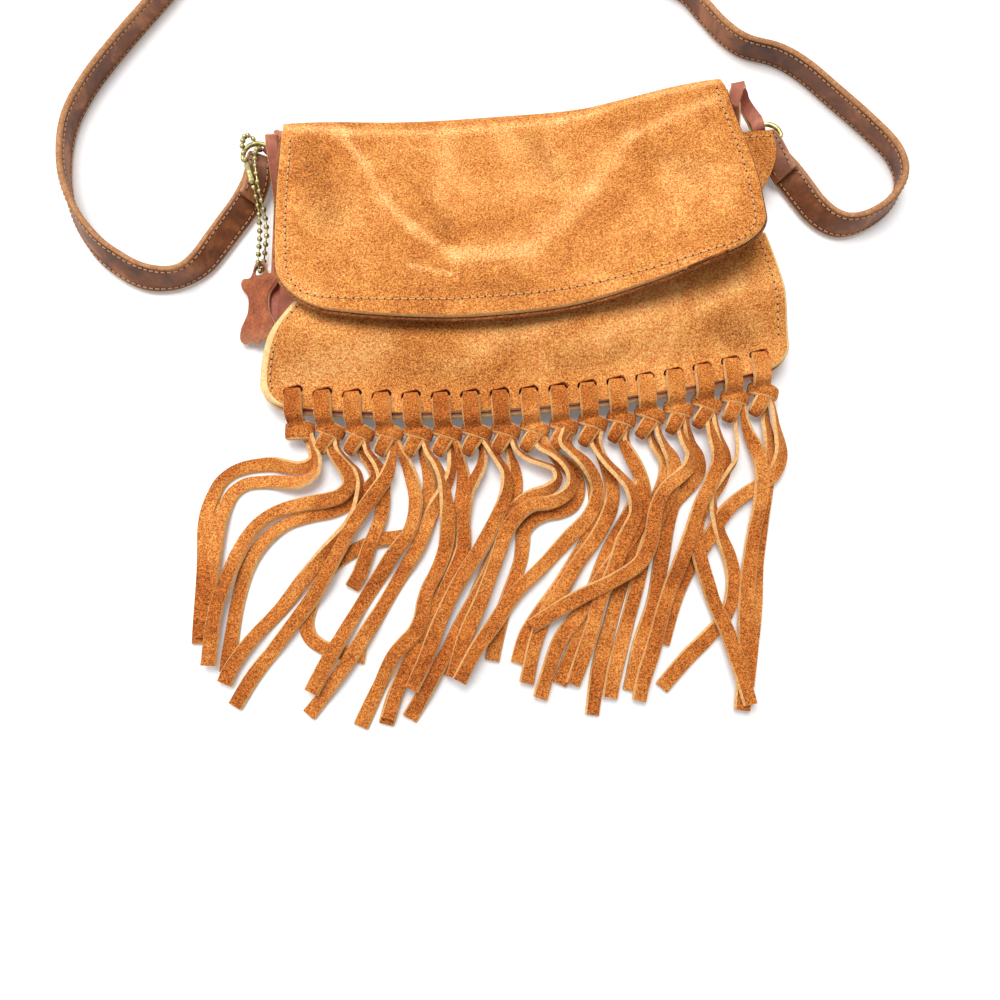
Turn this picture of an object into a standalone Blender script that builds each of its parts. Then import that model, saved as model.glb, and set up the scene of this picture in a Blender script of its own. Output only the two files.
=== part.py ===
# Fringed suede bag: a small flap bag that lies on its back, with a row of
# knotted strips along its lower hem and a narrow leather shoulder strap.
# Frame: X to the bag's right as seen, Y towards the fold, Z up off the surface.
# The origin is the middle of the back panel's flat resting face.

import math

import bmesh
import bpy
import numpy as np
from mathutils import Matrix, Vector

# Lengths are in millimetres and are scaled once, where meshes are made.
MM = 0.001

# Panels
SUEDE = 1.8
HALF_WIDTH = 111.0
TOP_HALF_WIDTH = 104.0
CORNER_RADIUS = 14.0
HEM_Y = -57.0
HEM_SAG = 8.0
BACK_TOP_Y = 68.0
BACK_TOP_RISE = 8.7
CURL_LENGTH = 16.0
BACK_HEM_Z = 8.1
HEM_GAP = 0.3
HEM_RISE_LENGTH = 18.0
FRONT_RISE_LENGTH = 24.0
FRONT_TOP_Y_LEFT = -12.0
FRONT_TOP_Y_RIGHT = 3.0
FRONT_TOP_X_LEFT = -94.0
FRONT_TOP_X_RIGHT = 105.0
FRONT_SIDE_Z = 19.0
FRONT_MIDDLE_Z = 16.5
PANEL_COLUMNS = 16
CLEARANCE = 0.3

# Gussets
GUSSET = 1.4
FLANGE = 4.5
SEAM_GAP = 0.9
GUSSET_TOP_X = 92.0
EAR_REACH = 23.0
CORNER_LIFT = 8.5

# Flap
FLAP_SUEDE = 1.6
LINING = 1.2
FLAP_TOP_HALF = 92.0
FLAP_HALF = 99.0
FLAP_CORNER = 20.0
FLAP_CORNER_Y = 2.0
FLAP_EDGE_Y = -27.5
FLAP_EDGE_BOW = 15.0
FLAP_MIDDLE_X = -12.0
HINGE_Y = 68.5
HINGE_Z = 12.4
HINGE_GAP = 1.2

# Snap
SNAP_RADIUS = 7.0
SNAP_Y = -15.0

# Fringe
FRINGES = 17
SLOT_SPAN = 97.0
SLOT_SET_BACK = 9.0
SLOT_LENGTH = 8.4
SLOT_WIDTH = 3.2
STRIP = 1.5
LOOP_WIDTH = 7.2
TAIL_WIDTH = 5.2
TAIL_NECK = 3.0
NECK_LENGTH = 12.0
KNOT_SIZE = (9.6, 8.4, 6.6)
KNOT_DROP = 7.2
KNOT_Z = 4.6
LAYER = STRIP + 0.6
FINE_STEP = 2.0
STRIDE = 3
LAY_MARGIN = 0.8

# Strap
STRAP_WIDTH = 12.4
STRAP_END_WIDTH = 10.8
STRAP_THICK = 2.6
STRAP_STEP = 13.5
FOLD_BACK = 17.0

# Rings and chain
WIRE = 2.1
RING_RADIUS = 7.6
BAR_OFFSET = 3.2
TAB_WIDTH = 5.4
TAB_THICK = 1.4
BALL = 2.4
BALL_PITCH = 3.7
LINK_WIRE = 0.7
TAG_THICK = 2.0
TAG_TILT = math.radians(21)
TAG_LEAN = math.radians(-3)

COLOURS = {
    "suede": (0.60, 0.22, 0.06, 0.95, 0.0),
    "lining": (0.45, 0.16, 0.05, 0.9, 0.0),
    "gusset": (0.32, 0.14, 0.08, 0.8, 0.0),
    "fringe": (0.55, 0.18, 0.04, 0.95, 0.0),
    "strap": (0.13, 0.045, 0.02, 0.5, 0.0),
    "tag": (0.22, 0.06, 0.025, 0.6, 0.0),
    "brass": (0.25, 0.20, 0.09, 0.4, 1.0),
}


def smooth(t):
    t = min(max(t, 0.0), 1.0)
    return t * t * (3.0 - 2.0 * t)


def mix(a, b, t):
    return a + (b - a) * t


# Scene, collections and materials

def clear_scene():
    for old in list(bpy.data.objects):
        bpy.data.objects.remove(old, do_unlink=True)


def collection(name):
    made = bpy.data.collections.new(name)
    bpy.context.scene.collection.children.link(made)
    return made


def material(name):
    red, green, blue, roughness, metallic = COLOURS[name]
    made = bpy.data.materials.new(name)
    made.use_nodes = True
    shader = made.node_tree.nodes["Principled BSDF"]
    shader.inputs["Base Color"].default_value = (red, green, blue, 1.0)
    shader.inputs["Roughness"].default_value = roughness
    shader.inputs["Metallic"].default_value = metallic
    return made


clear_scene()
PARTS = collection("fringed_suede_bag")
CUTTERS = collection("cutters")
MATERIALS = {name: material(name) for name in COLOURS}


def add_object(name, mesh, finish):
    made = bpy.data.objects.new(name, mesh)
    if finish:
        made.data.materials.append(MATERIALS[finish])
        PARTS.objects.link(made)
    else:
        CUTTERS.objects.link(made)
        made.hide_render = True
        made.display_type = "WIRE"
    return made


def mesh_from(bm, name):
    for vertex in bm.verts:
        vertex.co *= MM
    mesh = bpy.data.meshes.new(name)
    bm.to_mesh(mesh)
    bm.free()
    return mesh


def solidify(target, thickness):
    skin = target.modifiers.new("thickness", "SOLIDIFY")
    skin.thickness = thickness * MM
    skin.offset = 0.0
    skin.use_even_offset = True


def boolean(target, tool, operation):
    cut = target.modifiers.new(tool.name, "BOOLEAN")
    cut.object = tool
    cut.operation = operation


def sheet(name, columns, rows, place, thickness, finish):
    """A grid bent to place(column, row) and thickened about its middle."""
    bm = bmesh.new()
    bmesh.ops.create_grid(bm, x_segments=columns, y_segments=rows, size=1.0)
    for vertex in bm.verts:
        column = round((vertex.co.x + 1.0) / 2.0 * columns)
        row = round((vertex.co.y + 1.0) / 2.0 * rows)
        vertex.co = place(column, row)
    made = add_object(name, mesh_from(bm, name), finish)
    solidify(made, thickness)
    return made


# Body outline and heights

def hem_shift(x):
    """How far the curved hem stands above its lowest point at this X."""
    return HEM_SAG * (x / SLOT_SPAN) ** 2


def back_z(x, y):
    level = y - hem_shift(x)
    hem = 1.0 - smooth((level + 56.0) / HEM_RISE_LENGTH)
    curl = smooth((y - BACK_TOP_Y + CURL_LENGTH) / CURL_LENGTH)
    corner = min(max((abs(x) - FLAP_TOP_HALF) / 10.0, 0.0), 1.0) * smooth((y - 40.0) / 18.0)
    rise = BACK_TOP_RISE * curl + CORNER_LIFT * corner
    return SUEDE / 2 + (BACK_HEM_Z - SUEDE / 2) * hem + rise


def front_z(x, y):
    level = y - hem_shift(x)
    low = BACK_HEM_Z + SUEDE + HEM_GAP
    high = mix(FRONT_MIDDLE_Z, FRONT_SIDE_Z, min(1.0, (x / 95.0) ** 2))
    return mix(low, high, smooth((level + 54.0) / FRONT_RISE_LENGTH))


def corner_row(row, rows):
    """Level and inset of a row inside the rounded lower corner."""
    angle = math.pi / 2 * (1.0 - row / rows)
    level = HEM_Y + CORNER_RADIUS * (1.0 - math.sin(angle))
    return level, CORNER_RADIUS * (1.0 - math.cos(angle))


def hem_bow(x, row, rows):
    return -(HEM_SAG - hem_shift(x)) * (1.0 - row / rows)


CORNER_ROWS = 5
BACK_ROWS = 15
FRONT_ROWS = 10


def back_half_width(y):
    start = HEM_Y + CORNER_RADIUS
    return mix(HALF_WIDTH, TOP_HALF_WIDTH, (y - start) / (BACK_TOP_Y - start))


def back_place(column, row):
    u = 2.0 * column / PANEL_COLUMNS - 1.0
    if row <= CORNER_ROWS:
        level, inset = corner_row(row, CORNER_ROWS)
        x = u * (HALF_WIDTH - inset)
        y = level + hem_bow(x, row, CORNER_ROWS)
    else:
        t = (row - CORNER_ROWS) / (BACK_ROWS - CORNER_ROWS)
        y = mix(HEM_Y + CORNER_RADIUS, BACK_TOP_Y, t)
        x = u * back_half_width(y)
    return Vector((x, y, back_z(x, y)))


def front_edge_x(y, side):
    """X of the front panel's side edge, or of the gusset's top above it."""
    bottom = HEM_Y + CORNER_RADIUS
    if side < 0:
        end_y, end_x = FRONT_TOP_Y_LEFT, -FRONT_TOP_X_LEFT
    else:
        end_y, end_x = FRONT_TOP_Y_RIGHT, FRONT_TOP_X_RIGHT
    t = (y - bottom) / (end_y - bottom)
    if t <= 1.0:
        return mix(HALF_WIDTH, end_x, max(t, 0.0) ** 1.7)
    return mix(end_x, GUSSET_TOP_X, smooth((t - 1.0) / 1.2))


def front_place(column, row):
    u = column / PANEL_COLUMNS
    if row <= CORNER_ROWS:
        level, inset = corner_row(row, CORNER_ROWS)
        x = (2.0 * u - 1.0) * (HALF_WIDTH - inset)
        y = level + hem_bow(x, row, CORNER_ROWS)
    else:
        t = (row - CORNER_ROWS) / (FRONT_ROWS - CORNER_ROWS)
        top = mix(FRONT_TOP_Y_LEFT, FRONT_TOP_Y_RIGHT, u)
        y = mix(HEM_Y + CORNER_RADIUS, top, t)
        x = mix(-front_edge_x(y, -1), front_edge_x(y, 1), u)
    return Vector((x, y, front_z(x, y)))


# Slots along the hem

def slot_x(index):
    return -SLOT_SPAN + 2.0 * SLOT_SPAN * index / (FRINGES - 1)


def slot_y(index):
    return HEM_Y - HEM_SAG + SLOT_SET_BACK + hem_shift(slot_x(index))


def slot_cutter():
    """Round-ended prisms, one for each strip, through both hem layers."""
    bm = bmesh.new()
    stretch = (SLOT_LENGTH - SLOT_WIDTH) / 2
    for index in range(FRINGES):
        place = Matrix.Translation((slot_x(index), slot_y(index), BACK_HEM_Z))
        ring = bmesh.ops.create_cone(
            bm, cap_ends=True, segments=10, radius1=SLOT_WIDTH / 2, radius2=SLOT_WIDTH / 2,
            depth=20.0, matrix=place @ Matrix.Rotation(math.radians(18), 4, "Z"))
        for vertex in ring["verts"]:
            vertex.co.x += math.copysign(stretch, vertex.co.x - slot_x(index))
    return add_object("slot_cutter", mesh_from(bm, "slot_cutter"), None)


def make_panels():
    back = sheet("back_panel", PANEL_COLUMNS, BACK_ROWS, back_place, SUEDE, "suede")
    front = sheet("front_panel", PANEL_COLUMNS, FRONT_ROWS, front_place, SUEDE, "suede")
    slots = slot_cutter()
    boolean(back, slots, "DIFFERENCE")
    boolean(front, slots, "DIFFERENCE")


# Side gussets: strips folded out to a flange along the back and the front

GUSSET_ROWS = 12
GUSSET_START_Y = -36.5
GUSSET_END_Y = {-1: 52.0, 1: 54.0}


def gusset_place(side):
    def place(column, row):
        y = mix(GUSSET_START_Y, GUSSET_END_Y[side], row / GUSSET_ROWS)
        edge = back_half_width(y) - 0.5
        low = back_z(edge, y) + SUEDE / 2 + SEAM_GAP + GUSSET / 2
        rim = front_edge_x(y, side) - 0.5
        high = front_z(rim, y) - SUEDE / 2 - SEAM_GAP - GUSSET / 2
        ear = smooth((y - 8.0) / 40.0) if side > 0 else 0.0
        step = min(1.5, (high - low) * 0.4)
        middle = mix(edge, rim, 0.5) - FLANGE + ear * EAR_REACH
        points = (
            (edge, low),
            (edge - FLANGE, low),
            (edge - FLANGE - 1.1, low + step),
            (middle, mix(low, high, 0.5 + 0.25 * ear)),
            (rim - FLANGE - 1.1, high - step),
            (rim - FLANGE, high),
            (rim, high),
        )
        x, z = points[column]
        return Vector((side * x, y, z))
    return place


def make_gussets():
    for name, side in (("left_gusset", -1), ("right_gusset", 1)):
        sheet(name, 6, GUSSET_ROWS, gusset_place(side), GUSSET, "gusset")


# Flap, hinged at the fold over the back panel's upper edge

FLAP_ROWS = (
    (HINGE_Y, 0.0, 0.0),
    (HINGE_Y + 0.9, 0.45, 0.0),
    (HINGE_Y - 1.0, 0.85, 0.0),
    (HINGE_Y - 6.5, 1.0, 0.0),
    (50.0, 1.0, 0.0),
    (36.0, 1.0, 0.0),
    (20.0, 1.0, 0.0),
    (FLAP_CORNER_Y, 1.0, 0.0),
    (FLAP_CORNER_Y, 1.0, 0.25),
    (FLAP_CORNER_Y, 1.0, 0.5),
    (FLAP_CORNER_Y, 1.0, 0.75),
    (FLAP_CORNER_Y, 1.0, 1.0),
)
FOLD_ROWS = 3


def flap_height(x, y):
    """Height of the flap's middle surface: it stands highest on the right."""
    along = smooth((60.0 - y) / 85.0)
    left = smooth((-x - 20.0) / 72.0)
    right = smooth((x - 15.0) / 78.0)
    return mix(16.5, 25.0, along) + mix(7.5, 1.5, along) * left + mix(17.0, 11.5, along) * right


def flap_place(spread, sink):
    def place(column, row):
        u = 2.0 * column / PANEL_COLUMNS - 1.0
        y, rise, turn = FLAP_ROWS[row]
        half = mix(FLAP_TOP_HALF, FLAP_HALF, smooth((HINGE_Y - y) / 55.0)) + spread
        angle = math.pi / 2 * turn
        radius = FLAP_CORNER + spread
        x = u * (half - radius * (1.0 - math.cos(angle)))
        bow = FLAP_EDGE_BOW * ((x - FLAP_MIDDLE_X) / 95.0) ** 2
        low = FLAP_EDGE_Y + bow - (FLAP_CORNER_Y - FLAP_CORNER)
        y = y - radius * math.sin(angle) + turn * low
        start = HINGE_Z + HINGE_GAP
        z = mix(start, flap_height(x, y), rise) - sink
        return Vector((x, y, z))
    return place


def make_flap():
    sink = FLAP_SUEDE / 2 + CLEARANCE + LINING / 2 + 0.2
    lining_rows = len(FLAP_ROWS) - 1 - FOLD_ROWS
    lining_place = flap_place(0.4, sink)
    outer = sheet("flap", PANEL_COLUMNS, len(FLAP_ROWS) - 1, flap_place(0.0, 0.0),
                  FLAP_SUEDE, "suede")
    lining = sheet("flap_lining", PANEL_COLUMNS, lining_rows,
                   lambda column, row: lining_place(column, row + FOLD_ROWS),
                   LINING, "lining")
    return sink


def disc(name, x, y, low, high, finish):
    bm = bmesh.new()
    bmesh.ops.create_cone(bm, cap_ends=True, segments=24, radius1=SNAP_RADIUS,
                          radius2=SNAP_RADIUS, depth=high - low,
                          matrix=Matrix.Translation((x, y, (low + high) / 2)))
    made = add_object(name, mesh_from(bm, name), finish)
    made.data.shade_smooth()
    made.data.set_sharp_from_angle(angle=math.radians(40))
    return made


def make_snap(sink):
    roof = flap_height(0.0, SNAP_Y) - sink - LINING / 2 - 2 * CLEARANCE
    floor = front_z(0.0, SNAP_Y) + SUEDE / 2 + 2 * CLEARANCE
    middle = (roof + floor) / 2
    disc("snap_cap", 0.0, SNAP_Y, middle + CLEARANCE, roof, "brass")
    disc("snap_base", 0.0, SNAP_Y, floor, middle - CLEARANCE, "brass")


# Smooth routes and bands

def spline(points, step):
    """Evenly spaced points on a smooth curve through the given points."""
    given = [np.array(p, dtype=float) for p in points]
    given = [2 * given[0] - given[1]] + given + [2 * given[-1] - given[-2]]
    fine = []
    for a, b, c, d in zip(given, given[1:], given[2:], given[3:]):
        for t in np.linspace(0.0, 1.0, 16, endpoint=False):
            fine.append(0.5 * (2 * b + (c - a) * t + (2 * a - 5 * b + 4 * c - d) * t ** 2
                               + (3 * b - a - 3 * c + d) * t ** 3))
    fine = np.array(fine + [given[-2]])
    walked = np.concatenate([[0.0], np.cumsum(np.linalg.norm(np.diff(fine[:, :3], axis=0), axis=1))])
    count = max(2, round(walked[-1] / step)) + 1
    along = np.linspace(0.0, walked[-1], count)
    return np.stack([np.interp(along, walked, fine[:, k]) for k in range(fine.shape[1])], axis=1)


def unit(vector):
    return vector / np.linalg.norm(vector)


def headings(points):
    """Direction of travel at each point."""
    return [unit(points[min(i + 1, len(points) - 1)] - points[max(i - 1, 0)])
            for i in range(len(points))]


def band(name, middles, sides, halves, thickness, finish):
    """A flat strip: at each point it spreads by its half width to both sides."""
    def place(column, row):
        return Vector(middles[row] + (2 * column - 1) * halves[row] * sides[row])

    return sheet(name, 1, len(middles) - 1, place, thickness, finish)


def folded_end(middles, sides, radius, tail, pitch):
    """Folds a band's first end round a rod at its first point: returns the new
    middles and sides, with the tail lying one pitch above the band."""
    course = headings(middles)
    normals = [unit(np.cross(side, head)) for side, head in zip(sides, course)]
    walked = np.concatenate([[0.0], np.cumsum(np.linalg.norm(np.diff(middles, axis=0), axis=1))])
    legs = [m - n * radius * (1.0 - smooth(w / 12.0)) for m, n, w in zip(middles, normals, walked)]
    over = [(m + n * mix(radius, pitch, smooth(w / 12.0)), s)
            for m, n, s, w in zip(middles, normals, sides, walked) if 3.0 < w <= tail]
    turn = []
    for angle in (180, 135, 90, 45, 0):
        a = math.radians(angle)
        reach = -normals[0] * math.cos(a) - course[0] * math.sin(a)
        turn.append((middles[0] + radius * reach, sides[0]))
    start = list(reversed(over)) + turn
    kept = [i for i, w in enumerate(walked) if w > 3.0]
    new_middles = [m for m, _ in start] + [legs[i] for i in kept]
    new_sides = [s for _, s in start] + [sides[i] for i in kept]
    return new_middles, new_sides


# Fringe: each strip goes down through its slot, back under the hem, and both
# ends pass through a knot below it and lie over one another on the surface

TAIL_ROUTES = {
    "01a": [(-91, -75), (-98, -79), (-108, -76), (-120, -76), (-129, -80), (-134, -88),
            (-137, -99), (-138, -118), (-140, -151)],
    "01b": [(-89.5, -76), (-91, -82), (-98, -85), (-111, -83), (-122, -84), (-128, -91),
            (-131, -101), (-133, -114), (-135, -130), (-138, -147)],
    "02a": [(-83, -74), (-78, -81), (-76, -88), (-82, -93), (-94, -94), (-106, -96),
            (-115, -101), (-122, -110), (-127, -122), (-132, -136), (-135, -158)],
    "02b": [(-80, -74), (-73, -83), (-73, -92), (-77, -103), (-87, -114), (-96, -124),
            (-107, -136), (-117, -146), (-126, -157), (-131, -167)],
    "03a": [(-71, -75), (-66, -82), (-67, -87), (-74, -92), (-83, -97), (-95, -99),
            (-105, -102), (-114, -109), (-120, -118), (-124, -131), (-127, -147), (-129, -159)],
    "03b": [(-68, -75), (-63, -83), (-63, -93), (-65, -103), (-70, -114), (-74, -124),
            (-78, -130)],
    "04a": [(-58, -76), (-61, -86), (-68, -95), (-76, -105), (-84, -118), (-90, -128),
            (-98, -138), (-109, -151), (-118, -161), (-127, -174)],
    "04b": [(-55, -76), (-52, -84), (-50, -97), (-53, -109), (-61, -119), (-71, -132),
            (-80, -145), (-88, -158), (-97, -173)],
    "05a": [(-46, -78), (-44, -88), (-47, -101), (-54, -110), (-65, -111), (-77, -115),
            (-87, -122), (-94, -133), (-97, -144), (-93, -151), (-84, -155), (-72, -158)],
    "05b": [(-43, -78), (-39, -85), (-37, -98), (-38, -112), (-42, -124), (-48, -135),
            (-52, -148), (-62, -158), (-70, -171), (-77, -184)],
    "06a": [(-34, -78), (-35, -88), (-43, -101), (-50, -115), (-59, -128), (-69, -143),
            (-79, -157), (-88, -168), (-97, -178)],
    "06b": [(-31, -78), (-30, -90), (-33, -104), (-37, -118), (-43, -134), (-50, -149),
            (-57, -162), (-63, -173), (-67, -184)],
    "07a": [(-21, -79), (-23, -86), (-28, -94), (-31, -106), (-32, -118), (-38, -130),
            (-46, -143), (-54, -157), (-61, -170), (-66, -182)],
    "07b": [(-17, -79), (-12, -88), (-13, -98), (-19, -109), (-26, -120), (-35, -132),
            (-43, -146), (-50, -161), (-58, -175)],
    "08a": [(-10, -79), (-8, -88), (-10, -100), (-14, -112), (-21, -124), (-29, -139),
            (-37, -154), (-44, -171)],
    "08b": [(-6, -80), (4, -86), (10, -90), (6, -96), (-3, -99), (-11, -105), (-17, -118),
            (-25, -133), (-35, -148), (-45, -164), (-60, -186)],
    "09a": [(2, -78), (9, -83), (14, -90), (14, -97), (7, -102), (-4, -103), (-13, -111),
            (-19, -124), (-26, -139), (-34, -154), (-41, -172)],
    "09b": [(6, -79), (16, -90), (17, -99), (12, -105), (3, -106), (-6, -111), (-9, -124),
            (-16, -140), (-21, -153), (-25, -167)],
    "10a": [(12, -78), (20, -87), (25, -97), (21, -108), (10, -118), (-1, -128), (-13, -138),
            (-21, -148), (-30, -159), (-37, -170)],
    "10b": [(15, -79), (23, -90), (24, -103), (21, -115), (13, -126), (4, -138), (-3, -146),
            (-10, -155), (-14, -165)],
    "11a": [(25, -79), (31, -89), (38, -99), (39, -110), (33, -120), (28, -131), (21, -143),
            (15, -158), (7, -175)],
    "11b": [(27, -80), (31, -93), (30, -105), (23, -117), (15, -126), (6, -138), (-2, -149),
            (-7, -160), (-11, -173)],
    "12a": [(37, -78), (41, -89), (44, -100), (41, -112), (32, -124), (22, -135), (14, -146),
            (4, -157), (-2, -169), (-7, -181)],
    "12b": [(39, -79), (43, -92), (40, -104), (32, -116), (25, -127), (18, -141), (12, -156),
            (6, -167), (0, -178)],
    "13a": [(50, -79), (55, -89), (52, -99), (45, -109), (38, -120), (32, -134), (25, -151),
            (18, -170), (13, -189)],
    "13b": [(53, -78), (58, -90), (55, -101), (48, -113), (42, -124), (36, -140), (30, -156),
            (24, -171), (20, -185)],
    "14a": [(62, -78), (65, -89), (60, -95), (52, -101), (47, -110), (44, -121), (38, -130),
            (27, -136), (14, -141), (3, -146), (-11, -153)],
    "14b": [(65, -77), (69, -90), (64, -99), (57, -105), (52, -116), (48, -129), (43, -145),
            (36, -160), (32, -172), (28, -183)],
    "15a": [(74, -77), (76, -89), (72, -98), (65, -109), (60, -120), (53, -134), (46, -149),
            (40, -164), (35, -175), (31, -187)],
    "15b": [(77, -76), (80, -88), (76, -99), (68, -108), (63, -118), (63, -130), (66, -146),
            (70, -161), (73, -176), (75, -190)],
    "16a": [(86, -75), (84, -89), (78, -97), (72, -106), (73, -119), (76, -131), (76, -141),
            (72, -152), (64, -160), (54, -168), (45, -176), (39, -182)],
    "16b": [(89, -75), (93, -91), (92, -104), (87, -120), (82, -138), (78, -156), (75, -175),
            (71, -194)],
    "17a": [(99, -74), (99, -88), (96, -101), (91, -116), (87, -132), (84, -148), (80, -164),
            (75, -183)],
    "17b": [(102, -74), (103, -88), (98, -98), (87, -104), (77, -111), (68, -122), (59, -133),
            (51, -146), (43, -166)],
}

# From the lowest strip to the one that lies on top
LAY_ORDER = ("01a 03a 05a 06b 08a 09b 10b 12b 13a 14b 16a 17a 01b 02b 03b 06a 07a 08b 11b 12a "
             "13b 17b 02a 04a 04b 05b 07b 09a 11a 16b 10a 15b 15a 14a").split()


def knot_middle(index):
    x = slot_x(index) + (2.0 if index == 0 else 1.2)
    return np.array([x, HEM_Y - HEM_SAG - KNOT_DROP + hem_shift(slot_x(index)), KNOT_Z])


def lay_tails():
    """Settles each tail on the surface and on the strips that lie under it.
    Returns, for each tail, its middles and half widths at the coarse points."""
    laid = {}
    under = []
    for index in range(FRINGES):
        centre = knot_middle(index)
        top = KNOT_Z + KNOT_SIZE[2] / 2
        under.append((index, 99.0, centre[0], centre[1], KNOT_SIZE[1] / 2, top))
    for key in LAY_ORDER:
        index = int(key[:2]) - 1
        centre = knot_middle(index)
        inner = (centre[0] + (0.8 if key[2] == "a" else 2.6), centre[1] - 0.6)
        path = spline([inner] + TAIL_ROUTES[key], FINE_STEP)
        count = (len(path) - 1) // STRIDE * STRIDE + 1
        path = path[:count]
        halves = []
        for i in range(count):
            grown = smooth((i * FINE_STEP - 5.0) / NECK_LENGTH)
            half = mix(TAIL_NECK, TAIL_WIDTH, grown) / 2
            a, b, c = path[max(i - 2, 0)], path[i], path[min(i + 2, count - 1)]
            bend = abs(np.cross(b - a, c - b)) / (np.linalg.norm(b - a) * np.linalg.norm(c - b) + 1e-9)
            if bend > 1e-6 and 2 <= i < count - 2:
                half = min(half, 0.8 * 2 * FINE_STEP / bend)
            halves.append(half)
        floor = np.full(count, STRIP / 2 + 0.1)
        for i in range(count):
            for other, walked, x, y, half, z in under:
                if other == index and i * FINE_STEP < 14.0 and (walked < 14.0 or walked > 90.0):
                    continue
                near = halves[i] + half + LAY_MARGIN
                if (path[i][0] - x) ** 2 + (path[i][1] - y) ** 2 < near ** 2:
                    floor[i] = max(floor[i], z + LAYER)
        reach = STRIDE + 2
        high = [floor[max(i - reach, 0):i + reach + 1].max() for i in range(count)]
        level = [float(np.mean(high[max(i - 2, 0):i + 3])) for i in range(count)]
        start = 3.4 if key[2] == "a" else 5.8
        for i in range(count):
            level[i] = max(level[i], mix(start, level[i], smooth((i * FINE_STEP - 4.0) / 12.0)))
        coarse = list(range(0, count, STRIDE))
        level = np.interp(range(count), coarse, [level[i] for i in coarse])
        for i in range(count):
            under.append((index, i * FINE_STEP, path[i][0], path[i][1], halves[i], level[i]))
        laid[key] = ([np.array([*path[i], level[i]]) for i in coarse], [halves[i] for i in coarse])
    return laid


def make_tail(key, laid):
    middles, halves = laid[key]
    up = np.array([0.0, 0.0, 1.0])
    sides = [unit(np.cross(head, up)) for head in headings(middles)]
    return band("tail_" + key, middles, sides, halves, STRIP, None)


def make_loop(name, index):
    """The strip from inside the knot, over the hem, down the slot and back."""
    x = slot_x(index)
    centre = knot_middle(index)
    hem = HEM_Y - HEM_SAG + hem_shift(x)
    over = BACK_HEM_Z + HEM_GAP + 1.5 * SUEDE + STRIP / 2 + CLEARANCE + 0.2
    under = BACK_HEM_Z - SUEDE / 2 - STRIP / 2 - CLEARANCE - 0.2
    slot = slot_y(index)
    route = (
        (centre[0], centre[1] + 1.0, KNOT_Z + 1.3),
        (x, hem - 3.2, over - 2.8),
        (x, hem - 0.8, over),
        (x, slot, over),
        (x, slot, under),
        (x, hem - 0.8, under),
        (centre[0], centre[1] + 1.0, KNOT_Z - 1.3),
    )
    middles = [np.array(p) for p in route]
    sides = [np.array([1.0, 0.0, 0.0])] * len(middles)
    return band(name, middles, sides, [LOOP_WIDTH / 2] * len(middles), STRIP, "fringe")


def make_knot(index):
    bm = bmesh.new()
    bmesh.ops.create_cube(bm, size=1.0)
    bmesh.ops.scale(bm, vec=KNOT_SIZE, verts=bm.verts)
    bmesh.ops.bevel(bm, geom=bm.edges, offset=1.3, segments=1, affect="EDGES")
    bmesh.ops.rotate(bm, matrix=Matrix.Rotation(math.radians(8), 3, "Z"), verts=bm.verts)
    bmesh.ops.translate(bm, vec=Vector(knot_middle(index)), verts=bm.verts)
    name = f"knot_{index + 1:02d}"
    return add_object(name, mesh_from(bm, name), None)


def make_fringes():
    laid = lay_tails()
    for index in range(FRINGES):
        number = f"{index + 1:02d}"
        strip = make_loop("fringe_" + number, index)
        boolean(strip, make_knot(index), "UNION")
        for end in "ab":
            boolean(strip, make_tail(number + end, laid), "UNION")


# Rings at the upper corners. Each lies in the plane of its strap end: its
# straight bar holds the strap, and the leather tab holds its bow.

RINGS = {
    "left": {"bar": (-110.2, 60.2, 7.2), "strap": (-0.3, -0.954), "side": 1},
    "right": {"bar": (117.4, 51.4, 7.2), "strap": (0.5, -0.866), "side": -1},
}
RING_LEAN = math.radians(70)


def ring_axes(which):
    """Bar middle, direction from the bar to the bow, and direction of the bar."""
    spec = RINGS[which]
    away = np.array([*spec["strap"], 0.0])
    level = np.array([away[1], -away[0], 0.0]) * spec["side"]
    bar = level * math.sin(RING_LEAN) + np.array([0.0, 0.0, math.cos(RING_LEAN)])
    return np.array(spec["bar"]), -away, bar


def wire(name, points, radii, cyclic, resolution, finish):
    curve = bpy.data.curves.new(name, "CURVE")
    curve.dimensions = "3D"
    curve.bevel_depth = MM
    curve.bevel_resolution = resolution
    curve.use_fill_caps = not cyclic
    track = curve.splines.new("POLY")
    track.points.add(len(points) - 1)
    for point, place, radius in zip(track.points, points, radii):
        point.co = (*(np.array(place) * MM), 1.0)
        point.radius = radius
    track.use_cyclic_u = cyclic
    temporary = bpy.data.objects.new(name + "_curve", curve)
    bpy.context.scene.collection.objects.link(temporary)
    bpy.context.view_layer.update()
    graph = bpy.context.evaluated_depsgraph_get()
    mesh = bpy.data.meshes.new_from_object(temporary.evaluated_get(graph))
    bpy.data.objects.remove(temporary, do_unlink=True)
    bm = bmesh.new()
    bm.from_mesh(mesh)
    bmesh.ops.remove_doubles(bm, verts=bm.verts, dist=0.00001)
    bmesh.ops.recalc_face_normals(bm, faces=bm.faces)
    bm.to_mesh(mesh)
    bm.free()
    mesh.name = name
    made = add_object(name, mesh, finish)
    made.data.shade_smooth()
    return made


def ring_point(which, angle):
    bar_middle, back, bar = ring_axes(which)
    centre = bar_middle + back * BAR_OFFSET
    return centre + RING_RADIUS * (math.cos(angle) * bar + math.sin(angle) * back)


def make_ring(which):
    open_angle = math.asin(BAR_OFFSET / RING_RADIUS)
    steps = 18
    angles = [mix(-open_angle, math.pi + open_angle, i / steps) for i in range(steps + 1)]
    points = [ring_point(which, a) for a in angles]
    points += [points[-1] * (1 - t) + points[0] * t for t in (0.33, 0.67)]
    return wire(which + "_ring", points, [WIRE / 2] * len(points), True, 2, "brass")


# Tabs: short leather bands folded round the ring's bow and sewn at the corner

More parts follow.
